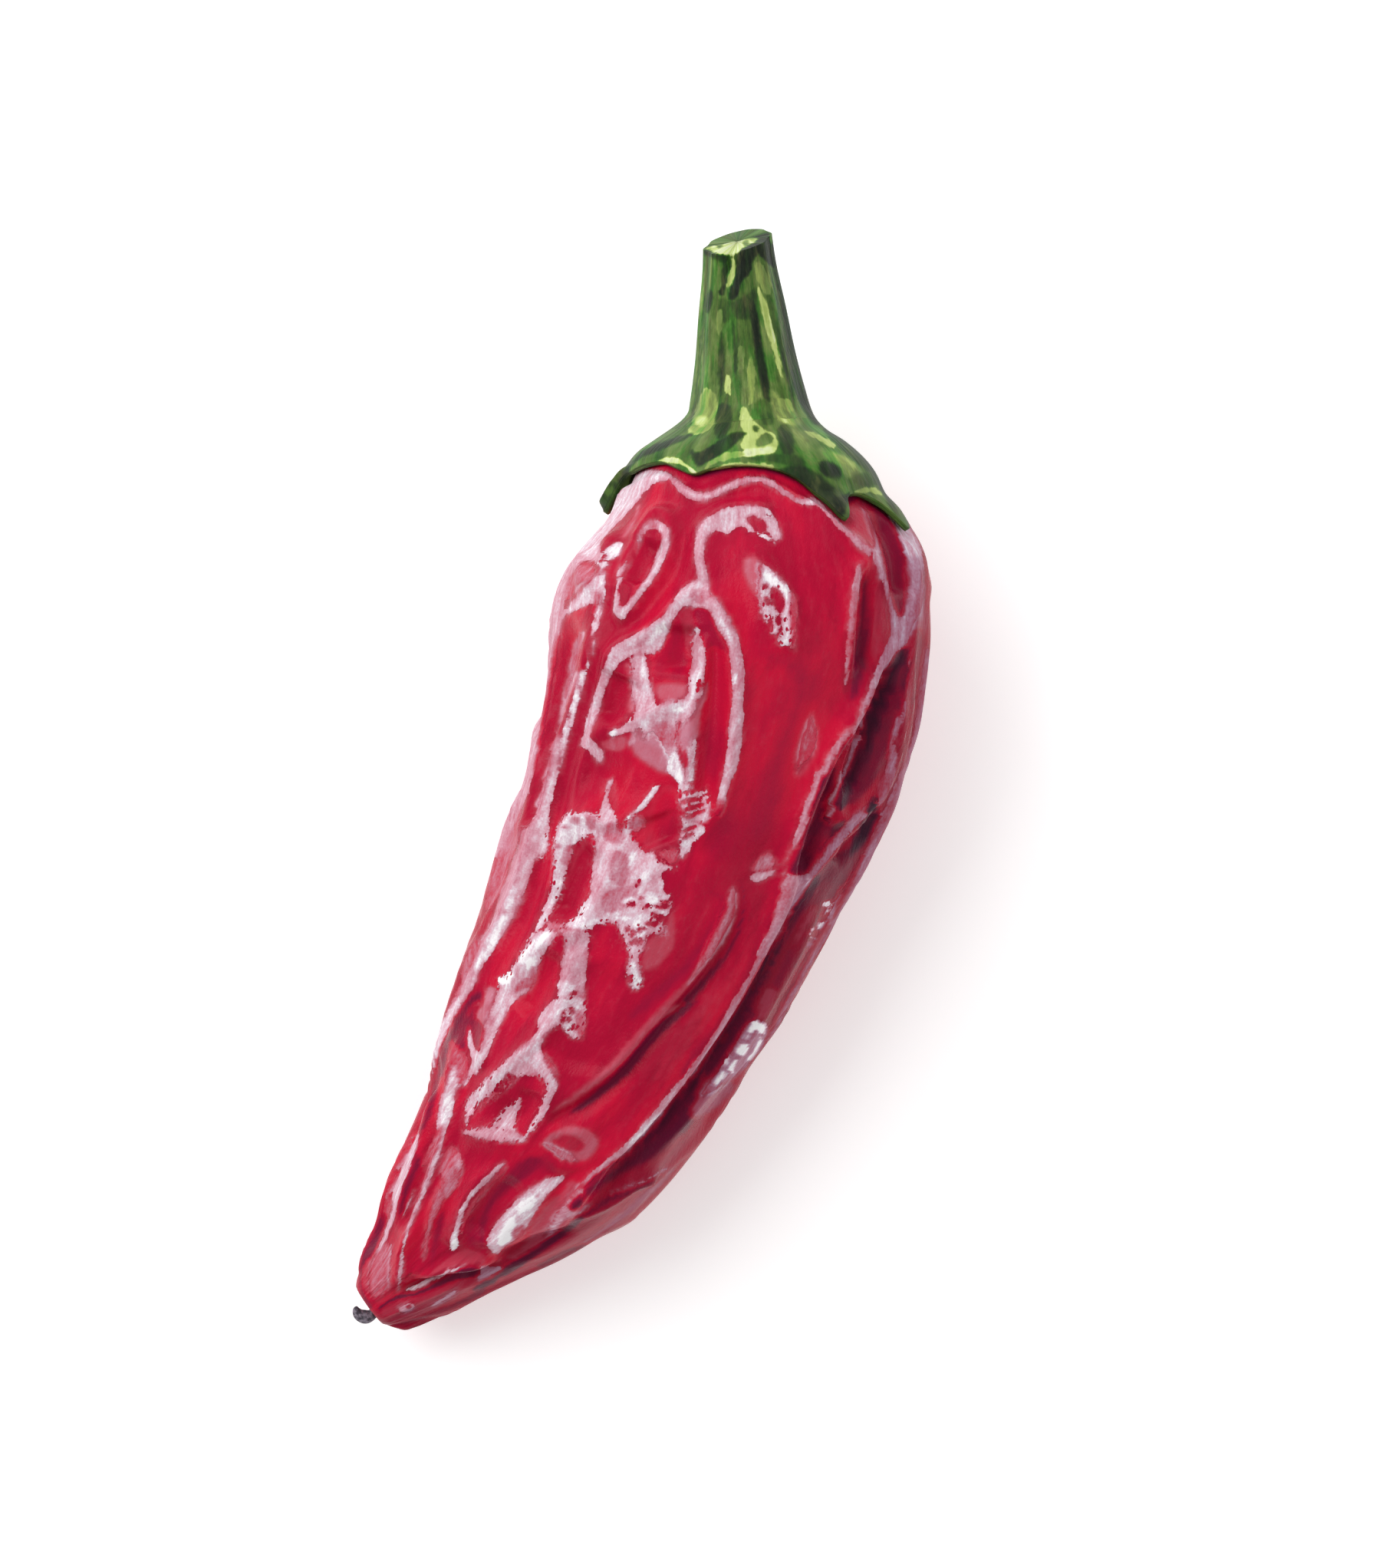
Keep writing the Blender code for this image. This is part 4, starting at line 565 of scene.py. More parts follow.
    "lower right": """
    0.28 4: 888,1306 894,1309 853,1341 800,1397 759,1429 718,1453 726,1441 750,1426 809,1373 847,1329
      867,1315;
    -0.55 4: 905,1303 911,1306 844,1365 832,1385 817,1403 762,1447 738,1453 773,1426 809,1394 855,1335;
    0.6 1.5: 965,1300 961,1315 952,1332 926,1373 888,1417 882,1429 867,1447 858,1464 829,1491 817,1505
      779,1532 756,1555 741,1573 744,1582 762,1576 776,1568 759,1582 732,1596 713,1614 721,1587 726,1579
      738,1570 744,1555 776,1523 809,1497 838,1467 870,1426 897,1397 946,1323 952,1306 958,1297;
    0.78 1.5: 860,1450 864,1450 853,1467 820,1497 817,1494 829,1476;
    0.62 2: 718,1593 729,1579 747,1567 756,1573 770,1571 709,1617;
    -0.8 5: 965,1318 982,1312 958,1335 932,1382 914,1403 905,1423 873,1464 841,1491 776,1535 753,1564
      750,1558 765,1543 797,1517 817,1505 850,1473 914,1391;
    -0.5 6: 905,1417 911,1453 899,1473 879,1485 864,1502 841,1517 811,1529 747,1573 744,1570 765,1549
      817,1511 873,1464;
    0.3 5: 929,1409 943,1414 952,1426 935,1441 920,1447 908,1441 911,1426;
    0.15 6: 917,1450 923,1464 905,1488 876,1517 841,1532 888,1491;
    0.15 4: 923,1464 905,1499 888,1514 876,1532 826,1579 788,1602 797,1590 838,1552 864,1532;
    0.65 1.2: 861,1529 838,1543 797,1555 794,1558 806,1552 829,1543 873,1520;
    -0.4 3: 864,1529 869,1535 858,1543 847,1549 829,1552 817,1561 797,1567 776,1579 756,1593 715,1629
      700,1634 700,1626 718,1617 738,1596 762,1579 785,1564 809,1552 850,1541;
    0.4 4: 873,1526 882,1523 847,1561 809,1593 765,1620 747,1626 797,1593;
    0.05 4: 823,1558 797,1570 753,1596 700,1637 700,1646 779,1599 826,1567;
    -0.45 3: 700,1640 765,1620 762,1626 735,1640 700,1656;
    0.32 3: 706,1488 718,1476 735,1469 756,1467 773,1476 782,1488 779,1499 765,1514 747,1516 729,1511
      721,1502 709,1499;
    0.08 3: 718,1488 735,1479 753,1482 762,1491 759,1499 747,1502 723,1494;
    0.42 2.5: 703,1491 718,1497 732,1511 753,1516 747,1508 732,1499 715,1491;
    -0.2 8: 706,1505 723,1511 729,1526 718,1532 700,1526;
    0.7 1.5: 718,1306 726,1300 738,1306 744,1300 762,1300 763,1318 759,1338 763,1353 754,1356 747,1354
      732,1338 723,1332 715,1332 709,1341 700,1344 700,1326;
    0.05 0.6: 733,1319 736,1318 737,1323 734,1324;
    0 0.6: 743,1313 748,1313 748,1321 743,1321;
    0 0.6: 731,1328 735,1327 735,1333 731,1333;
    0 0.6: 738,1327 743,1326 743,1332 739,1332;
    0.05 0.6: 747,1337 754,1337 754,1343 748,1342;
    0.3 2: 750,1318 762,1318 760,1338 763,1353 756,1356 751,1344;
    0.68 1.5: 700,1353 704,1359 706,1370 712,1388 727,1409 727,1420 722,1426 712,1453 694,1476 685,1479
      703,1447 715,1414 709,1403 700,1397 691,1382 688,1365;
    0.3 2.5: 706,1370 721,1385 728,1403 723,1397 715,1391;
    0.66 2: 735,1532 738,1535 732,1543 712,1558 700,1573 688,1582 671,1605 671,1587 694,1552 709,1541
      721,1535;
    """,
    "lower left and tip": """
    0.75 2: 606,1300 577,1359 563,1414 556,1432 547,1447 546,1429 559,1411 566,1388 566,1365 569,1347
      577,1329 594,1297;
    -0.5 3: 606,1306 580,1365 569,1400 563,1441 559,1458 547,1476 565,1414 572,1370 590,1332;
    -0.4 4: 612,1318 624,1309 632,1318 621,1332 629,1341 629,1356 621,1365 612,1356 600,1370 588,1362
      574,1400 568,1435 559,1464 547,1479 544,1505 524,1555 521,1579 518,1576 521,1555 544,1488 547,1464
      566,1417 583,1359;
    0.4 4: 618,1318 635,1306 641,1315 629,1359 618,1359 629,1338 621,1332;
    -0.3 2.5: 618,1332 625,1329 631,1344 628,1359 622,1365 616,1359 618,1347;
    0.22 2: 590,1353 599,1370 609,1376 612,1397 606,1414 597,1417 599,1397 594,1388 590,1394 585,1385;
    0.75 1.2: 610,1341 615,1344 618,1365 624,1373 635,1359 653,1318 662,1312 665,1297 673,1297 635,1370
      631,1385 612,1406 606,1417 603,1414 609,1403 612,1391 616,1385 609,1359;
    0.45 3: 632,1329 647,1323 641,1347 632,1365 624,1373 632,1350;
    0.72 1.2: 590,1388 594,1391 599,1414 594,1423 590,1455 583,1470 575,1502 559,1546 539,1590 531,1611
      527,1626 521,1684 518,1678 522,1629 536,1582 550,1549 566,1502 571,1482 568,1467 571,1447 575,1429
      583,1417 585,1400;
    0.28 1.2: 571,1470 577,1467 578,1476 568,1505 553,1523 550,1517;
    0.85 1.5: 585,1426 592,1429 590,1450 584,1464 577,1467 574,1458 577,1441;
    0.02 2: 553,1517 559,1523 553,1541 539,1576 524,1605 518,1611 515,1593 533,1564 544,1532;
    0.7 0.8: 539,1552 541,1552 528,1582 524,1587 527,1576 533,1561;
    -0.45 3: 541,1511 547,1505 550,1517 541,1532 531,1567 524,1585 518,1582 521,1561;
    0.5 2: 553,1435 519,1508 505,1549 500,1573 509,1546 530,1505 550,1458 556,1441;
    0.72 1.5: 546,1473 547,1482 541,1505 519,1561 515,1593 486,1655 481,1656 486,1640 495,1623 511,1579
      511,1558 521,1523;
    0.25 2: 527,1491 533,1497 530,1511 521,1523 512,1543 509,1582 503,1590 499,1582 503,1555 509,1535;
    -0.5 3.5: 503,1582 500,1605 486,1637 478,1646 474,1661 471,1678 477,1693 486,1705 481,1705 473,1693
      469,1675 469,1652 474,1631 483,1617 497,1582;
    0.3 2.5: 486,1640 500,1623 508,1617 509,1646 505,1678 497,1687 486,1693 480,1681 481,1661;
    0.15 2: 474,1646 484,1637 481,1664 483,1687 474,1681 471,1664;
    0.62 0.8: 509,1617 511,1629 507,1652 508,1678 505,1681 504,1658;
    0.72 0.8: 519,1664 523,1646 524,1626 527,1626 526,1649 521,1681 519,1678;
    -0.6 2: 493,1705 503,1696 518,1687 536,1687 553,1681 591,1658 606,1653 624,1652 627,1658 612,1667
      594,1667 556,1684 539,1690 521,1693 506,1699 496,1708;
    0.85 1: 527,1681 547,1673 556,1667 568,1664 585,1655 603,1649 609,1649 577,1664 544,1681 531,1684;
    0.18 2: 559,1664 568,1652 600,1629 618,1626 632,1637 635,1649 606,1648;
    0.1 3: 489,1696 506,1687 518,1678 521,1684 509,1693 495,1702;
    0.14 3: 500,1705 527,1693 556,1687 606,1667 629,1664 632,1670 577,1702 547,1717 518,1724 503,1719
      496,1711;
    0.6 1: 518,1706 530,1699 540,1699 541,1705 533,1711 521,1711;
    0.15 0.6: 530,1702 536,1701 536,1705 531,1706;
    0.66 0.9: 559,1702 585,1687 591,1681 597,1683 590,1690 577,1696 565,1703;
    -0.35 3: 635,1684 606,1699 547,1721 518,1728 512,1726 541,1719 571,1709 600,1696 629,1678;
    0.7 1.2: 694,1360 701,1365 709,1391 727,1414 726,1423 719,1432 713,1447 706,1458 697,1467 688,1482
      682,1488 685,1476 704,1444 716,1417 709,1409 698,1391 679,1379 644,1423 621,1441 618,1450 610,1458
      609,1470 606,1464 607,1450 606,1438 621,1420 656,1385 679,1367;
    0.35 1.5: 618,1447 641,1429 653,1417 665,1409 673,1403 679,1406 641,1435 627,1444 619,1453;
    0.12 0.8: 662,1409 673,1404 673,1410 663,1412;
    0.12 0.8: 646,1420 657,1416 657,1422 649,1425;
    0.66 1.2: 679,1429 681,1438 675,1453 672,1467 673,1479 647,1473 643,1464 650,1460 654,1450;
    0.55 2.5: 644,1464 682,1479 685,1488 665,1489 641,1488 624,1485 597,1476 618,1470 632,1470;
    0.75 1.5: 665,1482 682,1485 688,1480 685,1489 671,1490;
    -0.02 1.5: 610,1461 621,1447 673,1423 679,1426 650,1450 641,1461 629,1467 618,1469;
    -0.05 1.5: 682,1426 688,1417 694,1403 706,1417 707,1432 700,1450 682,1479 673,1473 679,1453;
    0.35 1.5: 588,1492 597,1499 605,1517 597,1546 588,1558 580,1564 575,1555 577,1535 571,1523 577,1505;
    0.6 1: 596,1508 603,1517 599,1526 594,1523;
    0.72 1: 660,1517 618,1558 609,1570 599,1602 597,1614 600,1624 591,1633 584,1627 597,1582 606,1564
      618,1549 647,1520 656,1516;
    0.95 1: 594,1605 600,1624 591,1631 585,1627 590,1614;
    0.25 2: 662,1519 656,1532 641,1543 618,1570 606,1599 602,1617 600,1602 606,1582 618,1561;
    0.3 2: 568,1549 577,1549 580,1564 562,1599 553,1646 552,1629 556,1599;
    -0.35 6: 685,1505 712,1511 694,1532 653,1558 641,1579 635,1599 632,1626 624,1623 621,1599 629,1573
      647,1546;
    -0.3 5: 571,1582 583,1579 565,1649 562,1652 561,1626;
    -0.25 5: 606,1593 618,1582 624,1605 624,1629 612,1626 606,1611;
    0.72 1.5: 729,1532 737,1535 732,1543 720,1549 694,1585 688,1599 679,1611 653,1629 647,1637 635,1626
      635,1611 653,1585 685,1552 703,1543 715,1535;
    1 1: 662,1589 668,1587 673,1593 668,1617 650,1626 649,1614;
    0.88 1.5: 682,1561 700,1558 694,1576 682,1587 676,1582 676,1570;
    0.25 1: 665,1608 673,1599 685,1596 684,1608 671,1617;
    0.25 4: 738,1538 735,1552 717,1564 694,1596 688,1617 676,1631 656,1640 682,1646 709,1626 753,1579
      760,1564 760,1541;
    0.6 2: 760,1543 726,1582 712,1611 723,1605 741,1585 760,1576;
    -0.6 4: 760,1552 739,1573 750,1579 760,1573;
    -0.65 3: 760,1579 741,1596 700,1626 662,1649 647,1664 624,1673 612,1684 635,1678 662,1664 688,1646
      760,1593;
    0.55 1.5: 618,1648 635,1651 659,1651 638,1664 627,1670 621,1667 629,1658;
    -0.2 4: 618,1693 641,1687 760,1620 760,1626 694,1667 659,1684 624,1696;
    0.08 4: 647,1667 671,1658 760,1602 760,1617 647,1678;
    """,
    "flank": """
    0.22 4: 1055,930 1064,954 1066,980 1055,1001 1042,1016 1033,1001 1035,975;
    -0.36 6: 1181,854 1182,896 1169,925 1160,959 1155,996 1134,1030 1110,1050 1101,1047 1110,1017 1126,988
      1142,946 1154,900;
    -0.38 6: 1063,1139 1084,1114 1110,1119 1134,1093 1120,1135 1084,1198 1063,1223 1027,1236 1038,1194;
    -0.88 3: 1183,842 1169,854 1148,891 1113,1001 1092,1038 1089,1055 1101,1056 1110,1026 1128,992 1144,946
      1157,904 1176,866;
    -0.2 4: 1192,820 1205,820 1204,875 1200,912 1185,980 1176,1005 1170,1005 1186,946 1185,908;
    0.42 2: 1205,845 1216,846 1214,887 1209,929 1200,975 1188,1009 1168,1055 1147,1097 1126,1148 1105,1181
      1093,1177 1113,1143 1134,1093 1154,1055 1185,980 1202,891;
    0.58 1.2: 1165,820 1185,820 1170,841 1156,854 1144,879 1124,942 1120,967 1112,996 1095,1022 1090,1043
      1080,1068 1076,1059 1090,1017 1105,992 1113,963 1119,933 1129,904 1148,855;
    0.55 1.4: 1135,1054 1126,1069 1110,1083 1071,1131 1057,1152 1049,1173 1042,1181 1013,1236 1008,1223
      1023,1166 1061,1130 1110,1075;
    0.8 1.5: 1057,1148 1047,1159 1034,1163 1026,1156 1040,1147 1055,1139;
    0.5 2.5: 1020,1140 1059,1140 1041,1170 1026,1200 963,1302 930,1365 900,1410 900,1394 912,1380 948,1320
      963,1290 981,1263 990,1233 1005,1208 1015,1182;
    0.36 4: 1023,1152 1035,1158 1029,1188 999,1227 993,1254 1011,1200;
    -0.85 3: 1061,1140 1070,1145 1053,1176 1032,1204 1022,1221 991,1290 930,1387 900,1425 900,1416 933,1367
      968,1302;
    -0.3 6: 1086,1146 1080,1170 1062,1206 1041,1230 1032,1260 1020,1284 999,1320 981,1326 1020,1251
      1029,1221 1050,1182 1068,1152;
    0.2 4: 1062,1179 1068,1185 1056,1209 1035,1239 1029,1236 1038,1212 1050,1191;
    0.22 4: 999,1284 1017,1290 1011,1314 999,1329 984,1326 990,1302;
    -0.14 4: 1110,1140 1119,1140 1026,1302 1002,1356 987,1380 981,1377 999,1332 1020,1290 1086,1176;
    0.45 2: 1119,1146 1122,1147 1089,1206 1050,1269 999,1368 996,1365 1029,1299 1065,1233;
    0.5 1.2: 1097,1157 1099,1158 1082,1208 1079,1204 1085,1185;
    0.42 2.5: 985,1328 1004,1334 999,1356 989,1377 974,1395 918,1430 912,1425 945,1386 966,1347 975,1335;
    0.36 5: 918,1428 936,1413 960,1410 954,1425 936,1443 912,1458 900,1458 900,1440;
    0.97 0.7: 980,1334 986,1327 988,1333 1001,1335 995,1348 990,1347 986,1342 979,1348 974,1345;
    0.97 0.7: 964,1363 972,1358 977,1363 973,1375 965,1376 959,1372;
    0.97 0.7: 985,1362 991,1355 989,1349 994,1355 990,1368 981,1382 974,1384 974,1379 982,1373;
    0.97 0.7: 953,1384 961,1380 961,1387 956,1394 958,1399 952,1399 949,1393;
    0.92 0.7: 936,1404 945,1395 949,1399 940,1411 931,1417 932,1409;
    0.9 0.7: 970,1350 975,1347 976,1353 971,1355;
    0.88 0.7: 945,1380 948,1379 947,1386 943,1387;
    0.9 0.7: 995,1338 1000,1338 997,1350 994,1350;
    0.9 0.7: 1072,1178 1079,1174 1084,1175 1081,1185 1075,1194 1071,1193 1078,1184 1076,1181 1072,1183;
    0.9 0.7: 1066,1202 1070,1199 1072,1204 1077,1203 1070,1212 1064,1211;
    0.85 0.7: 1057,1209 1063,1208 1063,1212 1057,1216 1058,1222 1066,1223 1061,1226 1053,1221;
    -0.25 0.7: 1073,1185 1077,1184 1073,1193 1069,1197 1068,1193;
    -0.3 0.7: 1058,1214 1064,1213 1066,1219 1061,1221;
    0.5 1: 1056,1226 1061,1227 1057,1235 1052,1237 1050,1230;
    """,
    # The pale band along the left edge is a painted reflection.
    "left rim": """
    0.56 2: 769,700 779,702 748,746 740,763 732,810 715,935 697,1007 687,1036 661,1095 653,1120 632,1116
      646,1070 668,1023 689,952 695,927 711,776 720,750 734,725 753,700;
    0.42 3: 722,826 727,830 722,868 707,952 704,948;
    -0.08 3: 731,823 758,797 771,789 777,792 766,810 750,828 746,868 734,910 716,994 703,1036 685,1081
      684,1065 695,1023 706,939 724,847;
    0.2 4: 745,839 750,834 745,876 722,952;
    0.28 3: 745,746 766,734 773,742 762,763 741,780 737,771;
    0.4 2.5: 753,826 762,826 750,876 729,939 703,1061 699,1057 724,948 737,902;
    0.72 1.2: 769,820 775,826 776,843 725,1023 717,1057 713,1120 695,1120 699,1086 706,1061 712,1032 730,965
      759,868;
    0.78 1.2: 781,735 788,740 790,763 787,790 779,822 774,828 769,822 778,797 782,776;
    0.92 1: 773,839 769,864 748,935 735,969 715,1049 714,1036 737,944 764,860;
    -0.12 2: 768,820 771,822 766,860 759,874 751,876 756,847 762,830;
    """,
    "collar": """
    0.72 2: 828,618 840,612 859,612 877,618 872,626 859,628 847,634 824,663 792,695 770,723 748,723 780,682
      792,663 802,644 812,631;
    0.55 2: 875,618 904,640 920,642 936,637 952,628 971,621 987,620 1003,624 1019,634 1035,647 1044,651
      1060,647 1070,653 1083,669 1118,701 1140,726 1130,726 1079,675 1067,659 1048,659 1032,653 997,629
      977,628 923,653 907,655 891,647 872,626;
    0.72 1.5: 891,636 907,644 923,645 930,647 917,651 901,648;
    0.72 1.5: 1032,650 1044,655 1060,651 1060,658 1048,659;
    0.68 2: 1146,648 1159,656 1188,688 1207,726 1178,726 1175,707 1166,688 1162,669;
    0.6 0.8: 1124,651 1138,685 1145,704 1148,723 1143,723 1126,663;
    0.12 3: 1105,656 1124,647 1140,691 1143,717 1130,710 1099,679;
    -0.3 3: 1134,647 1153,656 1162,675 1172,701 1177,726 1153,726;
    0.66 1.2: 920,675 936,666 955,659 993,659 1008,666 1019,695 1019,704 1008,707 1006,698 997,691 977,696
      971,685 958,688 949,698 936,691 923,698 918,710 917,726 904,726 906,707 910,688;
    0 0.8: 974,674 984,672 987,677 997,679 1000,690 992,695 976,682;
    0.1 0.8: 998,667 1006,669 1006,675 1000,674;
    0.85 0.8: 995,663 1006,666 1009,675 1005,674;
    0.85 0.8: 981,695 997,695 1006,701 1006,707 1011,709;
    -0.5 5: 805,631 828,615 850,605 869,603 885,608 901,621 917,623 961,611 993,613 1019,620 1044,631
      1067,647 1095,674 1111,653 1124,645 1146,647 1162,656 1159,650 1140,640 1121,637 1083,656 1051,624
      1003,605 955,602 917,615 891,602 866,594 828,605;
    """,
}

# On the calyx and stalk the pale washes are painted highlights, the dark ones painted shade and dark
# blotches.
greens = {
    "stalk and calyx": """
    -0.45 2.5: 917,334 923,376 930,392 924,423 921,459 914,490 898,561 891,564 904,516 909,471 914,344;
    0.12 2: 925,337 937,344 938,369 930,387 923,376;
    0.1 3: 925,408 933,414 934,459 931,497 920,500 920,471 925,439;
    -0.35 3: 938,385 955,395 974,385 987,372 984,414 968,417 955,414 942,423 936,408;
    0.3 2: 933,408 942,401 942,423 939,439 934,433;
    0.3 2.5: 955,459 968,446 971,471 965,497 957,484;
    -0.4 2: 940,433 944,459 944,484 941,516 938,516 939,484 938,459;
    -0.3 2: 955,401 959,433 961,465 960,490 957,484 954,420;
    -0.62 2.5: 1007,310 1011,306 1014,344 1044,487 1055,519 1071,556 1060,553 1044,530 1034,503 1026,471
      1019,408 1014,376 1008,350;
    -0.35 3: 1014,369 1021,446 1028,484 1038,516 1032,516 1022,490 1016,459 1011,388;
    0.62 1.5: 987,371 994,382 1004,408 1022,492 1017,489 1007,460 1000,428 987,385;
    0.9 1: 1001,406 1005,414 1011,443 1009,449;
    0.35 2: 985,337 1000,349 1007,376 1003,387 992,379 984,357;
    -0.7 2: 977,385 988,408 991,439 1007,524 997,524 990,497 977,403;
    -0.35 2.5: 982,522 1003,519 1011,551 997,557 990,541 984,538;
    0.42 2: 977,457 984,471 986,497 977,535 973,503;
    0.62 1.5: 918,328 928,316 947,306 965,300 987,298 999,302 997,309 984,315 972,325 949,338 938,331;
    0.95 1.5: 928,325 938,328 952,325 965,317 985,313 971,324 957,332 949,334;
    0.25 1.5: 923,321 944,308 960,304 965,312 952,318 936,321 930,324;
    0.75 1.5: 952,320 965,318 967,323 957,326;
    -0.65 1.5: 961,300 993,295 1000,300 1000,307 990,310 971,308;
    0.3 1.5: 966,313 984,311 971,321;
    -0.5 1.5: 918,328 942,332 950,337 946,344 923,334;
    -0.85 1.5: 944,336 950,339 945,376 942,385 937,384 941,372 944,357;
    0.85 1.2: 950,336 958,337 955,363 956,372 950,383 947,379 950,360;
    -0.9 1.5: 962,331 1007,309 1013,352 1003,345 991,328 982,337 978,357 966,366 962,385 955,392 949,390
      960,360;
    0.62 2: 895,564 904,545 911,517 920,504 930,510 933,529 930,551 921,564 904,568;
    0.85 1.5: 904,542 921,541 927,554 917,557 906,556;
    0.15 2: 920,510 930,514 930,532 923,535;
    -0.5 2: 930,529 946,524 956,535 947,567 937,575 930,562 935,545;
    0.85 1.2: 944,487 950,503 954,516 946,514 943,503;
    0.12 3: 955,484 974,484 976,522 965,535 955,529;
    0.66 2: 964,532 971,529 978,545 988,554 1007,564 1016,577 1012,590 993,593 974,590 964,583 971,567
      965,551;
    0.85 1.5: 968,586 987,583 1014,582 1010,592 981,596 963,595;
    0.1 1.5: 984,577 995,564 1009,569 1006,578 989,584;
    -0.4 1.2: 982,554 989,557 988,564 983,562;
    0.3 3: 1003,503 1019,519 1039,535 1048,554 1032,556 1012,548 1006,529;
    0.48 2: 1014,516 1032,522 1035,539 1019,533;
    -0.5 2: 1013,556 1030,551 1035,573 1034,594 1022,596 1016,577;
    -0.62 2: 804,629 813,612 828,596 843,583 904,563 902,569 866,585 843,593 828,603 810,631;
    -0.05 2.5: 828,603 847,593 879,585 930,566 934,573 910,586 898,596 879,593 859,599 824,615 813,628;
    0.8 1.2: 847,601 875,595 891,599 906,615 911,619 904,617 891,608 879,603;
    -0.85 1.8: 899,585 910,591 923,585 959,563 967,567 956,583 924,600 911,610 904,602;
    0.42 2: 924,600 943,590 965,587 972,594 949,599 930,606 917,615;
    0.62 1.5: 924,615 937,606 962,602 1007,604 1010,612 988,608 962,608 940,613 927,618;
    -0.3 2.5: 971,599 988,594 1020,592 1045,595 1052,606 1039,609 1013,603;
    -0.55 3: 1013,612 1039,605 1064,615 1083,631 1096,647 1102,663 1096,675 1064,644 1045,628 1020,618;
    0.1 3: 1038,561 1058,561 1077,567 1083,586 1071,592 1051,583;
    0.6 1.5: 1044,560 1064,564 1091,580 1086,585 1061,571;
    -0.5 2.5: 1070,556 1093,566 1112,582 1131,595 1147,614 1174,673 1160,663 1153,644 1140,625 1121,606
      1083,574;
    0.4 3: 1057,577 1112,599 1118,612 1109,625 1093,615;
    -0.7 2: 1067,599 1090,605 1100,618 1091,625 1070,619;
    -0.35 2: 1115,618 1141,612 1148,631 1134,635 1115,631;
    0.5 1.5: 1109,642 1124,634 1147,637 1154,647 1138,642 1121,644;
    -0.8 2: 1083,647 1102,647 1110,640 1099,675 1090,666;
    -0.4 1.5: 779,647 792,631 808,630 803,647 796,656 792,668 784,666 784,658;
    0.1 1.5: 786,637 801,632 798,646 789,647;
    """,
    "cut and edges": """
    0.22 3: 915,333 922,335 913,464 900,557 892,563 903,491;
    0.12 2: 923,333 934,346 935,383 925,420 928,464 915,507 908,514 920,429 919,367;
    -0.5 2: 924,376 931,382 925,409 919,405;
    -0.35 2: 940,433 943,436 941,482 938,507 935,482;
    0.88 1.4: 925,325 934,316 948,312 967,310 985,314 962,330 949,336 933,331;
    0.2 1.3: 933,317 940,314 943,319 936,323;
    0.25 1.3: 967,316 975,312 977,319 971,322;
    0.3 2: 955,302 974,302 992,309 985,312 961,310 943,312 939,309;
    -0.75 2: 959,299 993,295 1001,299 1005,312 998,315 974,305 961,305;
    -0.6 1.4: 918,325 936,332 950,333 949,338 933,336 919,330;
    -0.85 2: 1005,309 1005,346 993,336 986,325 975,332 964,345 956,367 962,383 956,392 948,389 961,352
      959,336 968,324 986,316 992,310;
    0.7 1.3: 953,336 959,339 960,349 953,379 947,377 947,367 951,358 953,349;
    -0.3 1.5: 949,336 954,340 953,352 948,349;
    -0.9 1.3: 936,379 943,380 943,385 938,384;
    -0.6 1.5: 943,346 947,338 946,364 943,377 939,364;
    0.7 1.4: 946,488 952,491 954,507 950,516 944,513 943,501;
    0.4 2: 917,507 927,508 935,516 936,544 924,563 899,564 902,544;
    0.72 1.5: 907,542 920,542 925,550 915,557 905,553;
    -0.55 2.5: 946,526 954,532 955,553 946,569 935,563 933,547 938,532;
    -0.75 2.5: 912,594 930,581 949,566 967,563 974,566 927,600 912,603;
    """,
}


def routeOnPod(route):  # points along a fold, and how strong it is there
    perStep, tails, atEnds = 26, 0.22, 0.15
    route = np.array(route, float) * (mm, math.pi / 180)
    steps = np.arange(len(route))
    at = np.linspace(0, steps[-1], perStep * len(route))
    if np.allclose(route[0], route[-1]):
        route = np.concatenate([route[-2:-1], route, route[1:2]])
        steps = np.arange(-1, len(steps) + 1)
        strength = np.ones(len(at))
    else:
        strength = ease(np.minimum(at, steps[-1] - at) / (tails * steps[-1]) + atEnds)
    station, angle = smoothCurve(steps, route, at).T
    return podBase(shareOf(station), angle), strength


def nearRoute(points, route, reach):  # which points are near, how far from the route, and its strength
    track, strength = routeOnPod(route)
    near = np.flatnonzero(np.all((points > track.min(0) - reach) & (points < track.max(0) + reach), axis=1))
    if not len(near):
        return near, np.zeros(0), np.zeros(0)
    middle = track.mean(axis=0)
    p, q = (points[near] - middle) / mm, (track - middle) / mm
    squares = (p * p).sum(1)[:, None] + (q * q).sum(1)[None] - 2 * p @ q.T
    closest = squares.argmin(axis=1)
    gap = np.sqrt(np.maximum(squares[np.arange(len(near)), closest], 0))
    return near, gap, strength[closest]


def foldField(points, folds, power):  # relief in mm
    blend, reach = 4, 3.2
    relief = np.zeros(len(points))
    for height, width, route in folds.values():
        near, gap, strength = nearRoute(points, route, reach * width * mm)
        if len(near):
            relief[near] += (height * strength * np.exp(-((gap / width) ** power))) ** blend
    return relief ** (1 / blend)


def insideBy(places, outline):  # how far inside an outline each place lies, negative outside
    edges = np.roll(outline, -1, axis=0) - outline
    gaps = places[:, None] - outline
    along = np.clip((gaps * edges).sum(-1) / (edges**2).sum(-1), 0, 1)
    distance = np.linalg.norm(gaps - along[..., None] * edges, axis=-1).min(axis=1)
    below = gaps[..., 1] < 0
    belowNext = gaps[..., 1] < edges[:, 1]
    slope = edges[:, 0] / np.where(edges[:, 1] == 0, 1, edges[:, 1])
    crossed = (below != belowNext) & (gaps[..., 0] < gaps[..., 1] * slope)
    return np.where(crossed.sum(axis=1) % 2 == 1, distance, -distance)


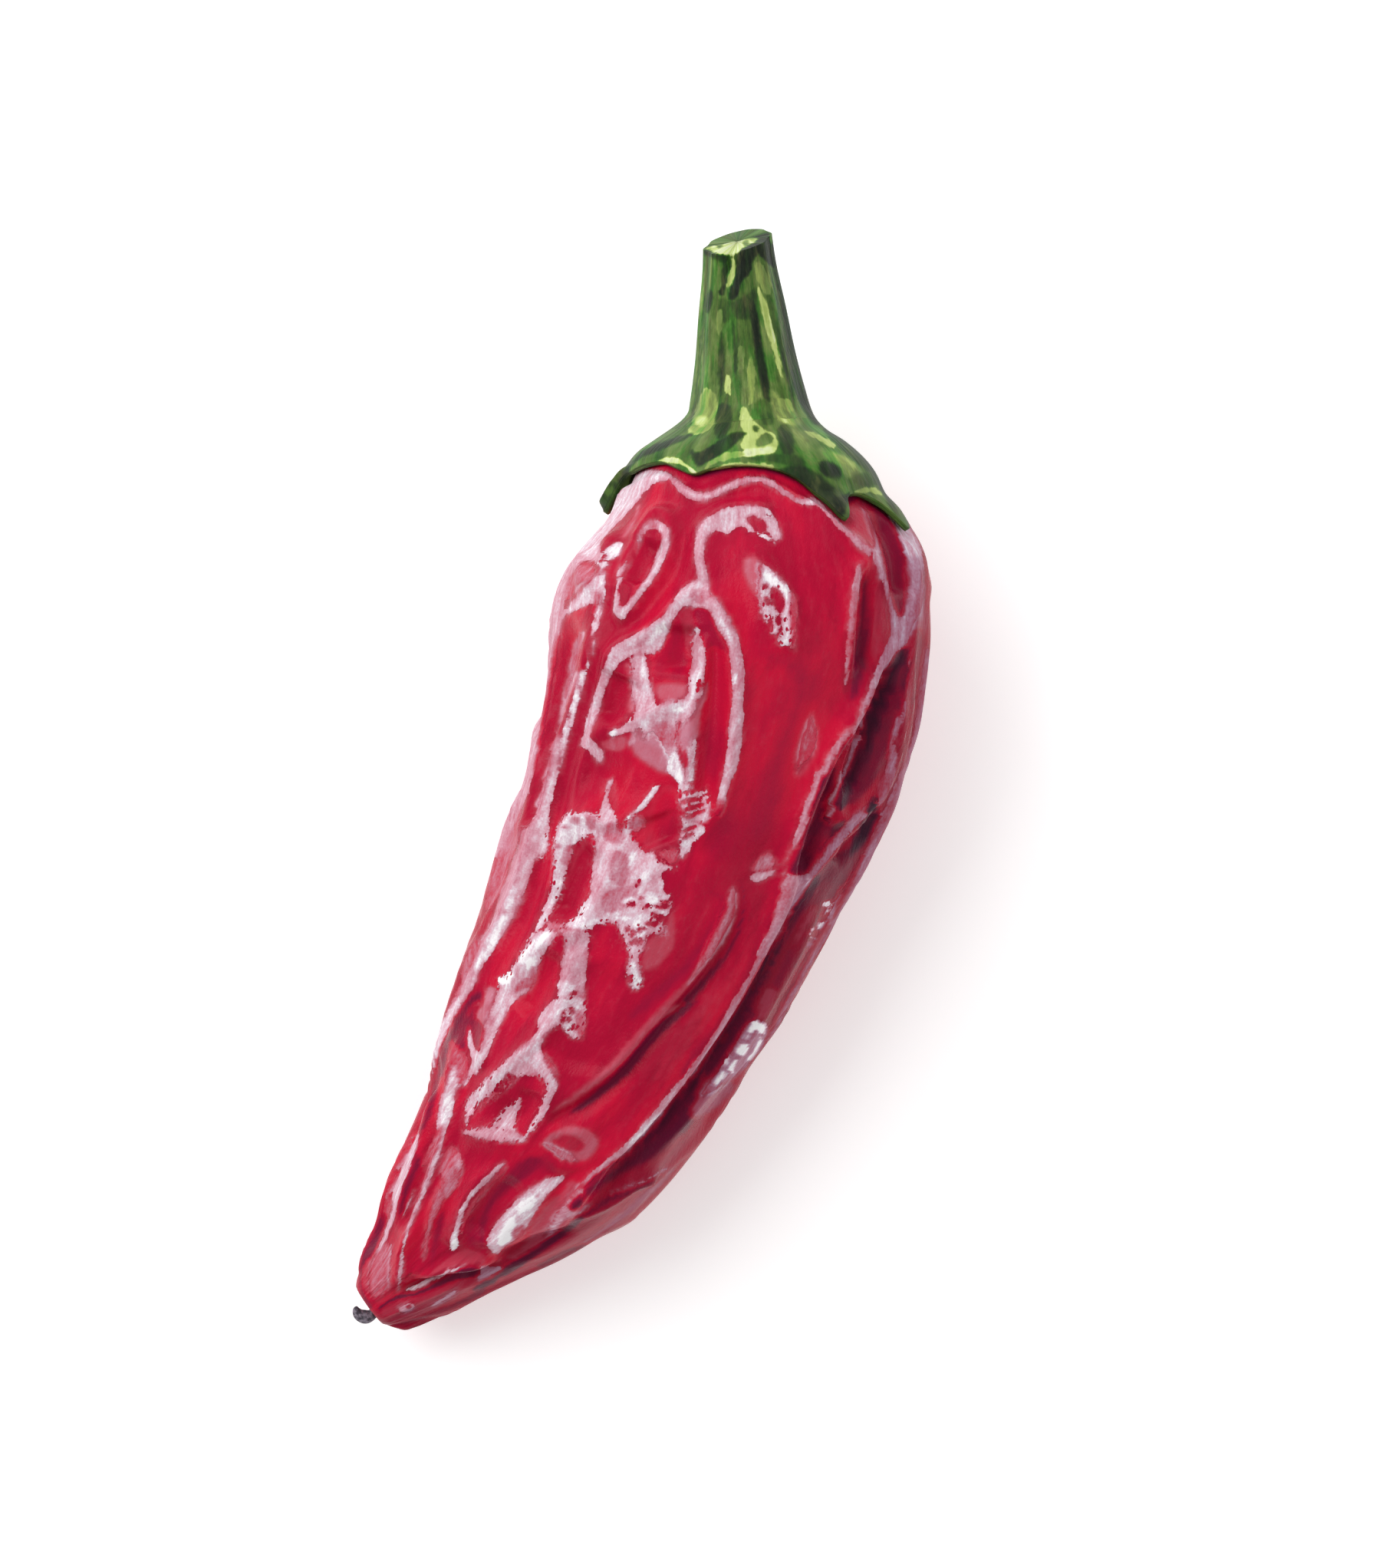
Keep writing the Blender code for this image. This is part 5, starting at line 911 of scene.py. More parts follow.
view = {  # the camera, which also says which pixel of the photograph shows a place
    "centre": (1.18 * mm, 3.66 * mm),  # the picture's middle, on the object
    "middleHeight": 15 * mm,
    "visibleHeight": 136.27 * mm,
    "lens": 135,
    "film": 36,
    "roll": math.radians(20),
    "pixels": (1820, 2044),
    "clip": (0.01, 20),
}


def inPicture(points):  # the pixel of the photograph that shows each point
    across = points[:, :2] - view["centre"]
    turn = np.array([[math.cos(view["roll"]), -math.sin(view["roll"])],
                     [math.sin(view["roll"]), math.cos(view["roll"])]])
    reach = view["visibleHeight"] * view["lens"] / view["film"]
    scale = view["pixels"][1] / view["visibleHeight"] * reach / (reach + view["middleHeight"] - points[:, 2])
    return np.array(view["pixels"]) / 2 + across @ turn * (1, -1) * scale[:, None]


# How the brush paints; lengths are in pixels of the photograph. A wash is crisp below one softness and
# pale above one tone.
brush = {
    "waver": 1.3,
    "waverSize": 6.0,
    "reach": 6.0,
    "soft": 2.2,
    "overlap": 3.5,
    "crispBelow": 3,
    "paleAbove": 0.2,
    "cornerCut": 0.25,
}


def outlinesIn(texts):  # the written outlines, with each corner cut once to round it
    share = brush["cornerCut"]
    for entry in "".join(texts).strip(" \n;").split(";"):
        head, places = entry.split(":")
        corners = np.array([place.split(",") for place in places.split()], float)
        way = np.roll(corners, -1, axis=0) - corners
        rounded = np.stack([corners + share * way, corners + (1 - share) * way], axis=1).reshape(-1, 2)
        yield *map(float, head.split()), rounded


def painted(points, texts):
    # Soft and dark washes go into the ground. Crisp pale ones go into the tint, which runs on past their
    # borders, and the border itself is kept as a distance, so that it stays sharp between the vertices.
    places = inPicture(points)
    places += [brush["waver"] * np.array(noise.noise_vector(Vector((x, y, 0)) / brush["waverSize"])[:2])
               for x, y in places]
    ground, tint, border = np.zeros(len(points)), np.zeros(len(points)), np.full(len(points), -brush["reach"])
    for amount, softness, outline in outlinesIn(texts):
        low, high = outline.min(axis=0) - brush["reach"], outline.max(axis=0) + brush["reach"]
        near = np.flatnonzero(np.all((places > low) & (places < high), axis=1))
        inside = insideBy(places[near], outline)
        cover = ease(0.5 + inside / (2 * max(softness, brush["soft"])))
        crisp = softness < brush["crispBelow"]
        pale = amount > brush["paleAbove"]
        if crisp and pale:
            spread = ease(0.5 + (inside + brush["overlap"]) / (2 * brush["soft"]))
            tint[near] += (amount - tint[near]) * np.where(border[near] > 0, cover, spread)
            border[near] = np.maximum(border[near], inside)
        else:
            ground[near] += (amount - ground[near]) * cover
            tint[near] += (amount - tint[near]) * cover
        if crisp and not pale:
            border[near] = np.minimum(border[near], -inside)
    return ground, tint, border


# Finer relief, in mm: a net of ridges with hollows between, broad swells and fine lengthwise wrinkles.
net = {
    "cell": 8.0,
    "stretch": 0.5,
    "warp": (0.35, 1.3),  # how far the cells are bent, in cells, and how often
    "height": 1.1,
    "line": 0.3,
    "hollow": 0.8,
    "from": 72,  # degrees from the top where the full net begins
    "full": 100,
    "above": 0.12,  # its share of the height before that
}
swell = {"size": 11.0, "height": 0.35}
grain = {"size": 2.6, "stretch": 0.45, "height": 0.07}
# crest: the tone of a painted highlight along the net's crests underneath, where no wash is painted.
unseen = {"from": 94, "full": 110, "crest": 0.35}  # degrees from the top where no wash is painted


def netField(station, angle):  # ridges along the borders of long cells, for the sides and the underside
    radius = podProfile[:, 1].max()
    bend, often = net["warp"]
    relief, line = np.zeros(len(station)), np.zeros(len(station))
    for i, (s, a) in enumerate(zip(station, angle)):
        place = Vector((math.cos(a) * radius, math.sin(a) * radius, s * net["stretch"])) / (net["cell"] * mm)
        place += bend * noise.noise_vector(place * often)
        nearest, second = noise.voronoi(place)[0][:2]
        border = second - nearest
        line[i] = math.exp(-((border / net["line"]) ** 2))
        relief[i] = line[i] - net["hollow"] * min(1, border)
    return relief * net["height"], line


def swellField(points):
    return np.array([noise.noise(Vector(p) / (swell["size"] * mm)) for p in points]) * swell["height"]


def grainField(straight):
    size = np.array([1, 1, grain["stretch"]]) / grain["size"]
    return np.array([noise.noise(Vector(p)) for p in straight * size]) * grain["height"]


# Meshes: a UV sphere whose vertices are moved, ring by ring

def sphereMesh(name, segments, rings, place):
    bm = bmesh.new()
    bmesh.ops.create_uvsphere(bm, u_segments=segments, v_segments=rings, radius=1)
    co = np.array([v.co for v in bm.verts])
    ring = np.rint(np.arccos(np.clip(co[:, 2], -1, 1)) / math.pi * rings).astype(int)
    angle = np.arctan2(co[:, 0], co[:, 1])
    points, fields = place(ring, angle)
    for vertex, point in zip(bm.verts, points):
        vertex.co = point
    if bm.calc_volume(signed=True) < 0:
        bmesh.ops.reverse_faces(bm, faces=bm.faces)
    mesh = bpy.data.meshes.new(name)
    bm.to_mesh(mesh)
    bm.free()
    mesh.shade_smooth()
    for field, values in fields.items():
        kind = "FLOAT_VECTOR" if values.ndim == 2 else "FLOAT"
        layer = mesh.attributes.new(field, kind, "POINT")
        layer.data.foreach_set("vector" if values.ndim == 2 else "value", values.astype(np.float32).ravel())
    piece = bpy.data.objects.new(name, mesh)
    bpy.context.scene.collection.objects.link(piece)
    return piece


def straightPlaces(station, angle, radius):  # the skin as if on a straight rod, in mm, for grain and paint
    return np.column_stack([radius * np.cos(angle), radius * np.sin(angle), station / mm])


def unseenShare(angle):
    return between(np.degrees(np.abs(angle)), unseen["from"], unseen["full"])


def paintedFields(points, angle, texts, behind):  # what the paints read; no wash goes round to the underside
    ground, tint, border = painted(points, texts)
    hidden = unseenShare(angle)
    return {
        "ground": ground + (behind - ground) * hidden,
        "tint": tint,
        "border": border - 2 * brush["reach"] * hidden,
    }


pod = {
    "segments": 206,
    "rings": 464,
    "crowding": 0.62,  # draws the lengthwise lines of vertices together on top
    "middleRadius": 16,
    "ridgePower": 1.7,
    "hollowPower": 2.0,
    "bare": (0.3 * mm, 1.4 * mm),  # past the rim of the calyx, where the folds begin and are full
    "closing": 1.6 * mm,  # before the tip, where they fade out
    "resting": (3 * mm, 2.5 * mm, 0.8),  # height where they start to flatten, over how much, by what share
    # flankStart and flankEnd: where the painted shade on the side towards +X fades in, and where it fades
    # out.
    "flankStart": (38, 52),  # degrees
    "flankEnd": (110, 150),
}


def calyxRim(angle):
    degrees, station = np.array(calyx["rim"], float).T
    degrees = np.concatenate([degrees - 360, degrees, degrees + 360])
    return smoothCurve(degrees, np.tile(station, 3) * mm, np.degrees(angle))[..., 0]


def podSkin(ring, angle):
    share = ring / pod["rings"]
    angle = angle - pod["crowding"] * np.sin(angle)
    degrees = np.degrees(angle)
    base = podBase(share, angle)
    station = stationOf(share)
    straight = straightPlaces(station, angle, pod["middleRadius"])

    netRelief, netLine = netField(station, angle)
    netShare = net["above"] + (1 - net["above"]) * between(np.abs(degrees), net["from"], net["full"])
    relief = foldField(base, ridges, pod["ridgePower"]) - foldField(base, hollows, pod["hollowPower"])
    relief += netShare * netRelief + swellField(base) + grainField(straight)
    rim = calyxRim(angle)
    bare = between(station, rim + pod["bare"][0], rim + pod["bare"][1])
    closing = between(stationSteps[-1] - station, 0, pod["closing"])
    low, fade, loss = pod["resting"]
    resting = 1 - loss * between(low - base[:, 2], 0, fade)
    skin = base + podNormal(share, angle) * (relief * mm * bare * closing * resting)[:, None]
    skin[:, 2] = np.maximum(skin[:, 2], 0)

    # Painted highlights and painted shade go into the colour here; underneath, a painted highlight on the
    # net's crests.
    fields = paintedFields(skin, angle, washes.values(), unseen["crest"] * netLine)
    fields["straight"] = straight
    # flank masks the painted shade on the side towards +X, which faces away from the key light.
    fields["flank"] = between(degrees, *pod["flankStart"]) * (1 - between(degrees, *pod["flankEnd"]))
    fields["dry"] = painted(skin, [broken])[0] * (1 - unseenShare(angle))
    return skin, fields


# Calyx and stalk

calyx = {
    "rim": [  # angle in degrees and station in mm; the five teeth reach furthest
        (-162, 1.0), (-148, 2.2), (-136, 4.6), (-124, 2.4), (-112, 2.0), (-98, 5.2), (-87, 1.4),
        (-75, 0.7), (-60, 0.3), (-46, 0.4), (-36, 1.1), (-27, 1.7), (-20, 1.4), (-13, 1.25), (0, 1.3),
        (14, 1.9), (24, 3.0), (30, 4.3), (36, 5.8), (41, 4.5), (50, 3.8), (61, 4.5), (71, 6.2), (80, 4.8),
        (90, 3.4), (112, 1.8), (130, 2.6), (146, 4.8), (160, 2.4), (176, 1.0),
    ],
    "gap": 0.3 * mm,
    "thickness": 0.85 * mm,
    "rootThickness": 0.95 * mm,
    "rimThickness": 0.45 * mm,
    "rootStation": -1.5 * mm,
    "curledTooth": (math.radians(-97), math.radians(13), 1.2 * mm),  # angle, spread, lift
    "curlUp": (0.76, 0.14),  # where the tooth arches up, and over how much of the way to the rim
    "curlBack": (0.9, 0.1, 0.5),  # where it comes back, over how much, and by what share
    "segments": 360,
    "cutRings": 24,
    "stalkRings": 130,
    "capRings": 60,
    "bend": (-14, 12),  # the rings before and after the stalk's foot where it turns into the cap
    "liningRings": 30,
    "middleRadius": 5,
}
stalk = {
    "profile": [(-19.7, 2.8), (-16.7, 3.05), (-12.7, 3.68), (-8.7, 4.27), (-5.7, 4.87), (-4.3, 5.2),
                (-3.2, 5.6)],  # station and radius, mm
    "cut": -18.6 * mm,
    "cutFront": 1.1 * mm,
    "cutSide": -0.4 * mm,
    "ribs": 8,
    "ribShare": 0.045,
    "ribFade": 0.5,  # how much of the ribs is gone at the stalk's foot
    "shift": 0.3 * mm,
    "turn": 0.022,
    "notch": (math.radians(-14), math.radians(13), 3.4 * mm, 0.9 * mm),  # angle, spread, length, depth
}
stalkProfile = np.array(stalk["profile"]) * mm


def stalkPoint(along, angle):
    cut = stalk["cut"] + stalk["cutFront"] * np.cos(angle) + stalk["cutSide"] * np.sin(angle)
    station = cut + (stalkProfile[-1, 0] - cut) * along
    radius = smoothCurve(stalkProfile[:, 0], stalkProfile[:, 1], station)[..., 0]
    radius = radius * (1 + stalk["ribShare"] * np.cos(stalk["ribs"] * angle) * (1 - stalk["ribFade"] * along))
    notchAngle, notchSpread, notchLength, notchDepth = stalk["notch"]
    notch = ease(1 - (station - cut) / notchLength) * np.exp(-(((angle - notchAngle) / notchSpread) ** 2))
    radius = radius - notchDepth * notch
    side = radius * np.sin(angle) + stalk["shift"] - stalk["turn"] * station
    return onAxis(station, side, radius * np.cos(angle)), station


def calyxLift(along, angle):
    place, spread, lift = calyx["curledTooth"]
    curl = np.exp(-(((angle - place) / spread) ** 2))
    up, rise = calyx["curlUp"]
    back, fall, loss = calyx["curlBack"]
    curl = curl * ease((along - up) / rise) * (1 - loss * ease((along - back) / fall))
    return (calyx["gap"] + lift * curl)[:, None]


def capPoint(along, angle):
    root, rim = shareOf(calyx["rootStation"]), shareOf(calyxRim(angle))
    share = root + (rim - root) * along
    thickness = calyx["thickness"] + (calyx["rootThickness"] - calyx["thickness"]) * (1 - along) ** 3
    thickness = thickness + (calyx["rimThickness"] - calyx["thickness"]) * along**4
    point = podBase(share, angle) + podNormal(share, angle) * (calyxLift(along, angle) + thickness[:, None])
    return point, stationOf(share)


def outerPoint(ring, angle):  # the stalk, then the cap, by rings from the cut; one smooth bend joins them
    onStalk = ring <= calyx["stalkRings"]
    stalkPart, stalkStation = stalkPoint(np.minimum(ring / calyx["stalkRings"], 1), angle)
    capPart, capStation = capPoint(np.clip((ring - calyx["stalkRings"]) / calyx["capRings"], 0, 1), angle)
    point = np.where(onStalk[:, None], stalkPart, capPart)
    return point, np.where(onStalk, stalkStation, capStation)


def bentPoint(ring, angle):
    first, last = (calyx["stalkRings"] + reach for reach in calyx["bend"])
    around = (first - 1, first, last, last + 1)
    ends = [outerPoint(np.full(len(ring), float(end)), angle)[0] for end in around]
    span = last - first
    t = np.clip((ring - first) / span, 0, 1)[:, None]
    bent = hermite(ends[1], ends[2], (ends[1] - ends[0]) * span, (ends[3] - ends[2]) * span, t)
    point, station = outerPoint(ring, angle)
    return np.where((ring > first)[:, None] & (ring < last)[:, None], bent, point), station


def liningPoint(along, angle):
    share = shareOf(calyxRim(angle)) * along
    return podBase(share, angle) + podNormal(share, angle) * calyxLift(along, angle)


def calyxSkin(ring, angle):
    rim, rimStation = stalkPoint(np.zeros(len(angle)), angle)
    heart = rim[ring == calyx["cutRings"]].mean(axis=0)
    inward = np.minimum(ring / calyx["cutRings"], 1)
    points = heart + (rim - heart) * inward[:, None]
    station = rimStation.copy()
    outer = ring - calyx["cutRings"]
    outside = (outer > 0) & (outer <= calyx["stalkRings"] + calyx["capRings"])
    points[outside], station[outside] = bentPoint(outer[outside], angle[outside])
    lining = outer - (calyx["stalkRings"] + calyx["capRings"] + 1)
    inner = lining >= 0
    points[inner] = liningPoint(1 - lining[inner] / calyx["liningRings"], angle[inner])
    fields = paintedFields(points, angle, greens.values(), 0)
    fields["straight"] = straightPlaces(station, angle, calyx["middleRadius"])
    return points, fields


# Style remnant

style = {
    "route": [(-9.93, -48.95, 6.48), (-9.83, -49.8, 6.3), (-9.92, -50.3, 6.2), (-10.33, -50.64, 6.3),
              (-10.87, -50.64, 6.5), (-11.24, -50.36, 6.8), (-11.38, -49.98, 7.1)],
    "radius": [0.3, 0.4, 0.52, 0.62, 0.55, 0.42, 0.3],
    "bluntness": 4,
    "segments": 64,
    "rings": 60,
}


def styleSkin(ring, angle):
    along = ring / style["rings"]
    route = np.array(style["route"]) * mm
    knots = np.linspace(0, 1, len(route))
    centre = smoothCurve(knots, route, along)
    nudge = 0.02
    way = smoothCurve(knots, route, along + nudge) - smoothCurve(knots, route, along - nudge)
    way = way / np.linalg.norm(way, axis=1)[:, None]
    up = np.array([0, 0, 1.0]) - way * way[:, 2:]
    up = up / np.linalg.norm(up, axis=1)[:, None]
    across = np.cross(way, up)
    radius = smoothCurve(knots, np.array(style["radius"]) * mm, along)
    radius = radius * np.sqrt(1 - (2 * along[:, None] - 1) ** style["bluntness"])
    points = centre + radius * (across * np.sin(angle)[:, None] + up * np.cos(angle)[:, None])
    return points, {}


# Materials

class Wire:  # a shader socket that can be used in sums
    def __init__(self, paint, socket):
        self.paint, self.socket = paint, socket

    def math(self, operation, first, second):
        return self.paint.node("ShaderNodeMath", {"operation": operation}, {0: first, 1: second})

    def __add__(self, other):
        return self.math("ADD", self, other)

    __radd__ = __add__

    def __mul__(self, other):
        return self.math("MULTIPLY", self, other)

    __rmul__ = __mul__

    def __sub__(self, other):
        return self.math("SUBTRACT", self, other)

    def __rsub__(self, other):
        return self.math("SUBTRACT", other, self)


class Paint:  # a material under construction
    def __init__(self, name):
        self.material = bpy.data.materials.new(name)
        self.material.use_nodes = True
        self.tree = self.material.node_tree
        self.shader = self.tree.nodes["Principled BSDF"]

    def node(self, kind, settings=None, inputs=None, output=0):
        node = self.tree.nodes.new(kind)
        for key, value in (settings or {}).items():
            if key == "stops":
                self.fillRamp(node.color_ramp, value)
            else:
                setattr(node, key, value)
        for key, value in (inputs or {}).items():
            self.set(node.inputs[key], value)
        return Wire(self, node.outputs[output])

    def fillRamp(self, ramp, stops):
        for position, colour in stops[1:-1]:
            ramp.elements.new(position)
        for element, (position, colour) in zip(ramp.elements, stops):
            element.position = position
            element.color = (*colour, 1)

    def set(self, socket, value):
        if isinstance(value, Wire):
            self.tree.links.new(value.socket, socket)
        elif isinstance(value, tuple) and socket.type == "RGBA":
            socket.default_value = (*value, 1)
        else:
            socket.default_value = value

    def give(self, **inputs):  # the shader's own sockets, by name with underscores
        for name, value in inputs.items():
            self.set(self.shader.inputs[name.replace("_", " ")], value)

    def field(self, name, output="Fac"):
        return self.node("ShaderNodeAttribute", {"attribute_name": name}, output=output)

    def mix(self, share, first, second, blend="MIX"):
        return self.node("ShaderNodeMix", {"data_type": "RGBA", "blend_type": blend},
                         {0: share, 6: first, 7: second}, 2)

    def ramp(self, tone, stops):  # the colour of a tone from -1 to 1
        return self.node("ShaderNodeValToRGB", {"stops": stops}, {0: tone * 0.5 + 0.5})

    def noise(self, vector, scale, detail, roughness, distortion):
        return self.node("ShaderNodeTexNoise", inputs={"Vector": vector, "Scale": scale, "Detail": detail,
                                                       "Roughness": roughness, "Distortion": distortion})

    def noises(self, vector, layers):  # by name: stretch along the last axis, then what noise takes
        return {name: self.noise(self.stretched(vector, (1, 1, stretch)), *rest)
                for name, (stretch, *rest) in layers.items()}

    def swing(self, layers, amounts):  # noises round their middle, each times its amount
        return sum((layers[name] - 0.5) * amount for name, amount in amounts.items())

    def dots(self, vector, stretch, scale, bounds):  # round dots in the middle of cells
        cells = self.node("ShaderNodeTexVoronoi", inputs={"Vector": self.stretched(vector, stretch),
                                                          "Scale": scale})
        return self.step(cells, *bounds)

    def step(self, value, low, high):  # a smooth step of a value between two bounds
        return self.node("ShaderNodeMapRange", {"interpolation_type": "SMOOTHSTEP"},
                         {"Value": value, "From Min": low, "From Max": high})

    def stretched(self, vector, scale):
        return self.node("ShaderNodeMapping", {"vector_type": "POINT"}, {"Vector": vector, "Scale": scale})

    def bump(self, height, distance):
        return self.node("ShaderNodeBump", inputs={"Height": height, "Distance": distance})


red = {
    # Tones of the washes: the dark end is painted shade, the pale end painted highlights and reflections.
    "tones": [(0.0, (0.048, 0.008, 0.026)), (0.25, (0.18, 0.006, 0.036)), (0.5, (0.53, 0.0045, 0.038)),
              (0.63, (0.52, 0.06, 0.10)), (0.75, (0.56, 0.20, 0.27)), (0.84, (0.66, 0.35, 0.43)),
              (0.92, (0.74, 0.58, 0.66)), (1.0, (0.95, 0.92, 0.94))],  # from dark through crimson to white
    "deep": (0.34, 0.003, 0.028),
    "bright": (0.64, 0.007, 0.036),
    # flank: the mauve multiplied in as painted shade on the side away from the key light.
    "flank": (0.62, 0.60, 0.72),
    "gloss": (1.0, 0.8, 0.85),
    "noises": {  # stretch along the pod, scale in 1/mm, detail, roughness, distortion
        "broad": (0.45, 0.16, 4, 0.55, 0.0),
        "blotch": (0.6, 0.42, 3, 0.6, 0.6),
        "streak": (0.22, 1.3, 4, 0.65, 0.3),
        "fine": (0.7, 1.5, 4, 0.6, 0.0),
        "grit": (1.0, 4.5, 2, 0.55, 0.0),
    },
    # Borders, in pixels: how far noises move them, and how much more where the brush ran dry.
    "frayed": {"fine": 4.5, "grit": 3.0},
    "frayedDry": {"fine": 4.0, "grit": 3.0},
    # Where the brush ran dry, holes of crimson open in the painted highlights, and pale specks lie beside
    # them as painted glints.
    "holes": ((1, 1, 0.7), 2.1, (0.46, 0.24)),  # stretch, scale and bounds of the dots
    "holeDepth": 9.0,
    "holeFilled": (2.0, 9.0),
    "holeNoise": (0.44, 0.58),
    "specks": ((1, 0.6, 1), 2.6, (0.42, 0.2)),
    "speckHeight": 3.0,
    "speckNear": (-5.9, -3.5),
    "speckEnd": (-1.0, 2.0),
    "blurNoise": (0.50, 0.66),
    "blur": 0.75,
    "pale": (-0.7, 0.9),
    # Tones, from -1 to 1: the faint painted glow round a painted highlight, and how noises change washes and
    # pale washes.
    "haloNear": (-6.0, 0.0),
    "haloNoise": (0.42, 0.62),
    "halo": (0.08, 0.30),
    "washed": {"fine": 0.16, "streak": 0.16},
    "highlightMottle": {"fine": 0.5, "grit": 0.35, "streak": 0.7},
    # core: the painted highlight is duller at its edge and brighter in its middle.
    "coreNear": (-1.0, 6.0),
    "core": (-0.09, 0.16),
    "plain": (0.05, 0.3),
    "patches": {"broadDeep": (0.40, 0.62, 0.6), "blotchDeep": (0.50, 0.30, 0.5), "bright": (0.50, 0.36, 0.5)},
    # pool: darker crimson just outside the pale washes.
    "poolNear": (-5.9, -2.5),
    "poolNoise": (0.38, 0.52),
    "pool": 0.55,
    "whites": (0.55, 0.8),  # pale tones that the shade of the flank leaves clean
    "shade": 0.8,
    "roughness": (0.26, 0.2),  # plain skin, and more where pale
    "specular": 0.1,
    "bumps": {"grit": 0.4, "pale": 0.5},
    "bumpHeight": 0.07 * mm,
}


def podPaint():
    paint = Paint("pod_skin")
    straight = paint.field("straight", "Vector")
    ground, tint, border = paint.field("ground"), paint.field("tint"), paint.field("border")
    flank, dry = paint.field("flank"), paint.field("dry")
    layers = paint.noises(straight, red["noises"])
    blotch, fine = layers["blotch"], layers["fine"]

    # Holes of crimson in the painted highlights and pale specks beside them, where the brush ran dry.
    holes = paint.dots(straight, *red["holes"]) * (1 - paint.step(border, *red["holeFilled"]))
    holes = holes * paint.step(fine, *red["holeNoise"])
    specks = paint.dots(straight, *red["specks"]) * paint.step(border, *red["speckNear"])
    specks = specks * (1 - paint.step(border, *red["speckEnd"]))
    dryEdge = paint.swing(layers, red["frayedDry"]) - holes * red["holeDepth"] + specks * red["speckHeight"]
    edge = border + paint.swing(layers, red["frayed"]) + dry * dryEdge
    sharp = 1 - paint.step(blotch, *red["blurNoise"]) * red["blur"]
    # pale is the mask of the painted highlights and reflections.
    pale = paint.step(edge * sharp, *red["pale"])

    # halo: a faint painted glow round the painted highlights.
    haloLeast, haloMore = red["halo"]
    halo = paint.step(edge, *red["haloNear"]) * (haloLeast + paint.step(blotch, *red["haloNoise"]) * haloMore)
    wash = ground + halo + paint.swing(layers, red["washed"])
    coreLeast, coreMore = red["core"]
    core = coreLeast + paint.step(border, *red["coreNear"]) * coreMore
    highlightTone = tint + paint.swing(layers, red["highlightMottle"]) + core
    # The ramp gives painted shade below the plain crimson and painted highlights above it.
    colour = paint.ramp(wash + (highlightTone - wash) * pale, red["tones"])

    size = paint.node("ShaderNodeMath", {"operation": "ABSOLUTE"}, {0: ground})
    plain = (1 - pale) * (1 - paint.step(size, *red["plain"]))

    def patch(layer, name):
        low, high, share = red["patches"][name]
        return paint.step(layers[layer], low, high) * plain * share

    # pool: darker crimson just outside the pale washes.
    pool = paint.step(border, *red["poolNear"]) * (1 - paint.step(blotch, *red["poolNoise"]))
    colour = paint.mix(patch("broad", "broadDeep"), colour, red["deep"])
    colour = paint.mix(patch("blotch", "blotchDeep"), colour, red["deep"])
    colour = paint.mix(pool * (1 - pale) * red["pool"], colour, red["deep"])
    colour = paint.mix(patch("broad", "bright"), colour, red["bright"])
    # Painted shade: the side towards +X is darkened and turned mauve, sparing the brightest painted
    # highlights.
    shade = flank * (1 - pale * paint.step(tint, *red["whites"])) * red["shade"]
    colour = paint.mix(shade, colour, red["flank"], "MULTIPLY")

    bumps = fine + layers["grit"] * red["bumps"]["grit"] + pale * red["bumps"]["pale"]
    smooth, rougher = red["roughness"]
    paint.give(Base_Color=colour, Roughness=smooth + pale * rougher, Specular_IOR_Level=red["specular"],
               Specular_Tint=red["gloss"], Normal=paint.bump(bumps, red["bumpHeight"]))
    return paint.material


green = {
    # From near black to pale yellow-green: the dark end is painted shade and dark blotches, the pale end
    # painted highlights.
    "tones": [(0.0, (0.006, 0.010, 0.005)), (0.2, (0.020, 0.036, 0.012)), (0.38, (0.040, 0.085, 0.016)),
              (0.5, (0.078, 0.155, 0.026)), (0.64, (0.165, 0.245, 0.062)), (0.78, (0.33, 0.43, 0.10)),
              (0.9, (0.55, 0.66, 0.22)), (1.0, (0.74, 0.80, 0.52))],
    "vivid": (0.55, 1.0, 0.6),
    "olive": (0.10, 0.11, 0.035),
    "brown": (0.07, 0.05, 0.02),
    "noises": {
        "fibres": (0.14, 1.1, 4, 0.6, 0.0),
        "blotches": (0.45, 0.55, 4, 0.6, 0.4),
        "fine": (0.4, 2.6, 3, 0.55, 0.0),
        "hues": (0.3, 0.8, 4, 0.65, 0.5),
    },
    "frayed": {"fine": 6.0, "fibres": 8.0},
    "pale": (-1.0, 1.6),
    "mottled": {"fibres": 1.5, "blotches": 1.1, "fine": 0.5},
    "mottledPale": 0.6,
    "light": (0.35, 0.7),  # tones that keep their own hue
    "vividNoise": (0.52, 0.40),
    "oliveNoise": (0.54, 0.66),
    "oliveShare": 0.5,
    "brownNoise": (0.58, 0.72),
    "brownShare": 0.3,
    "roughness": 0.5,
    "specular": 0.2,
    "fineBump": 0.5,
    "bumpHeight": 0.2 * mm,
}


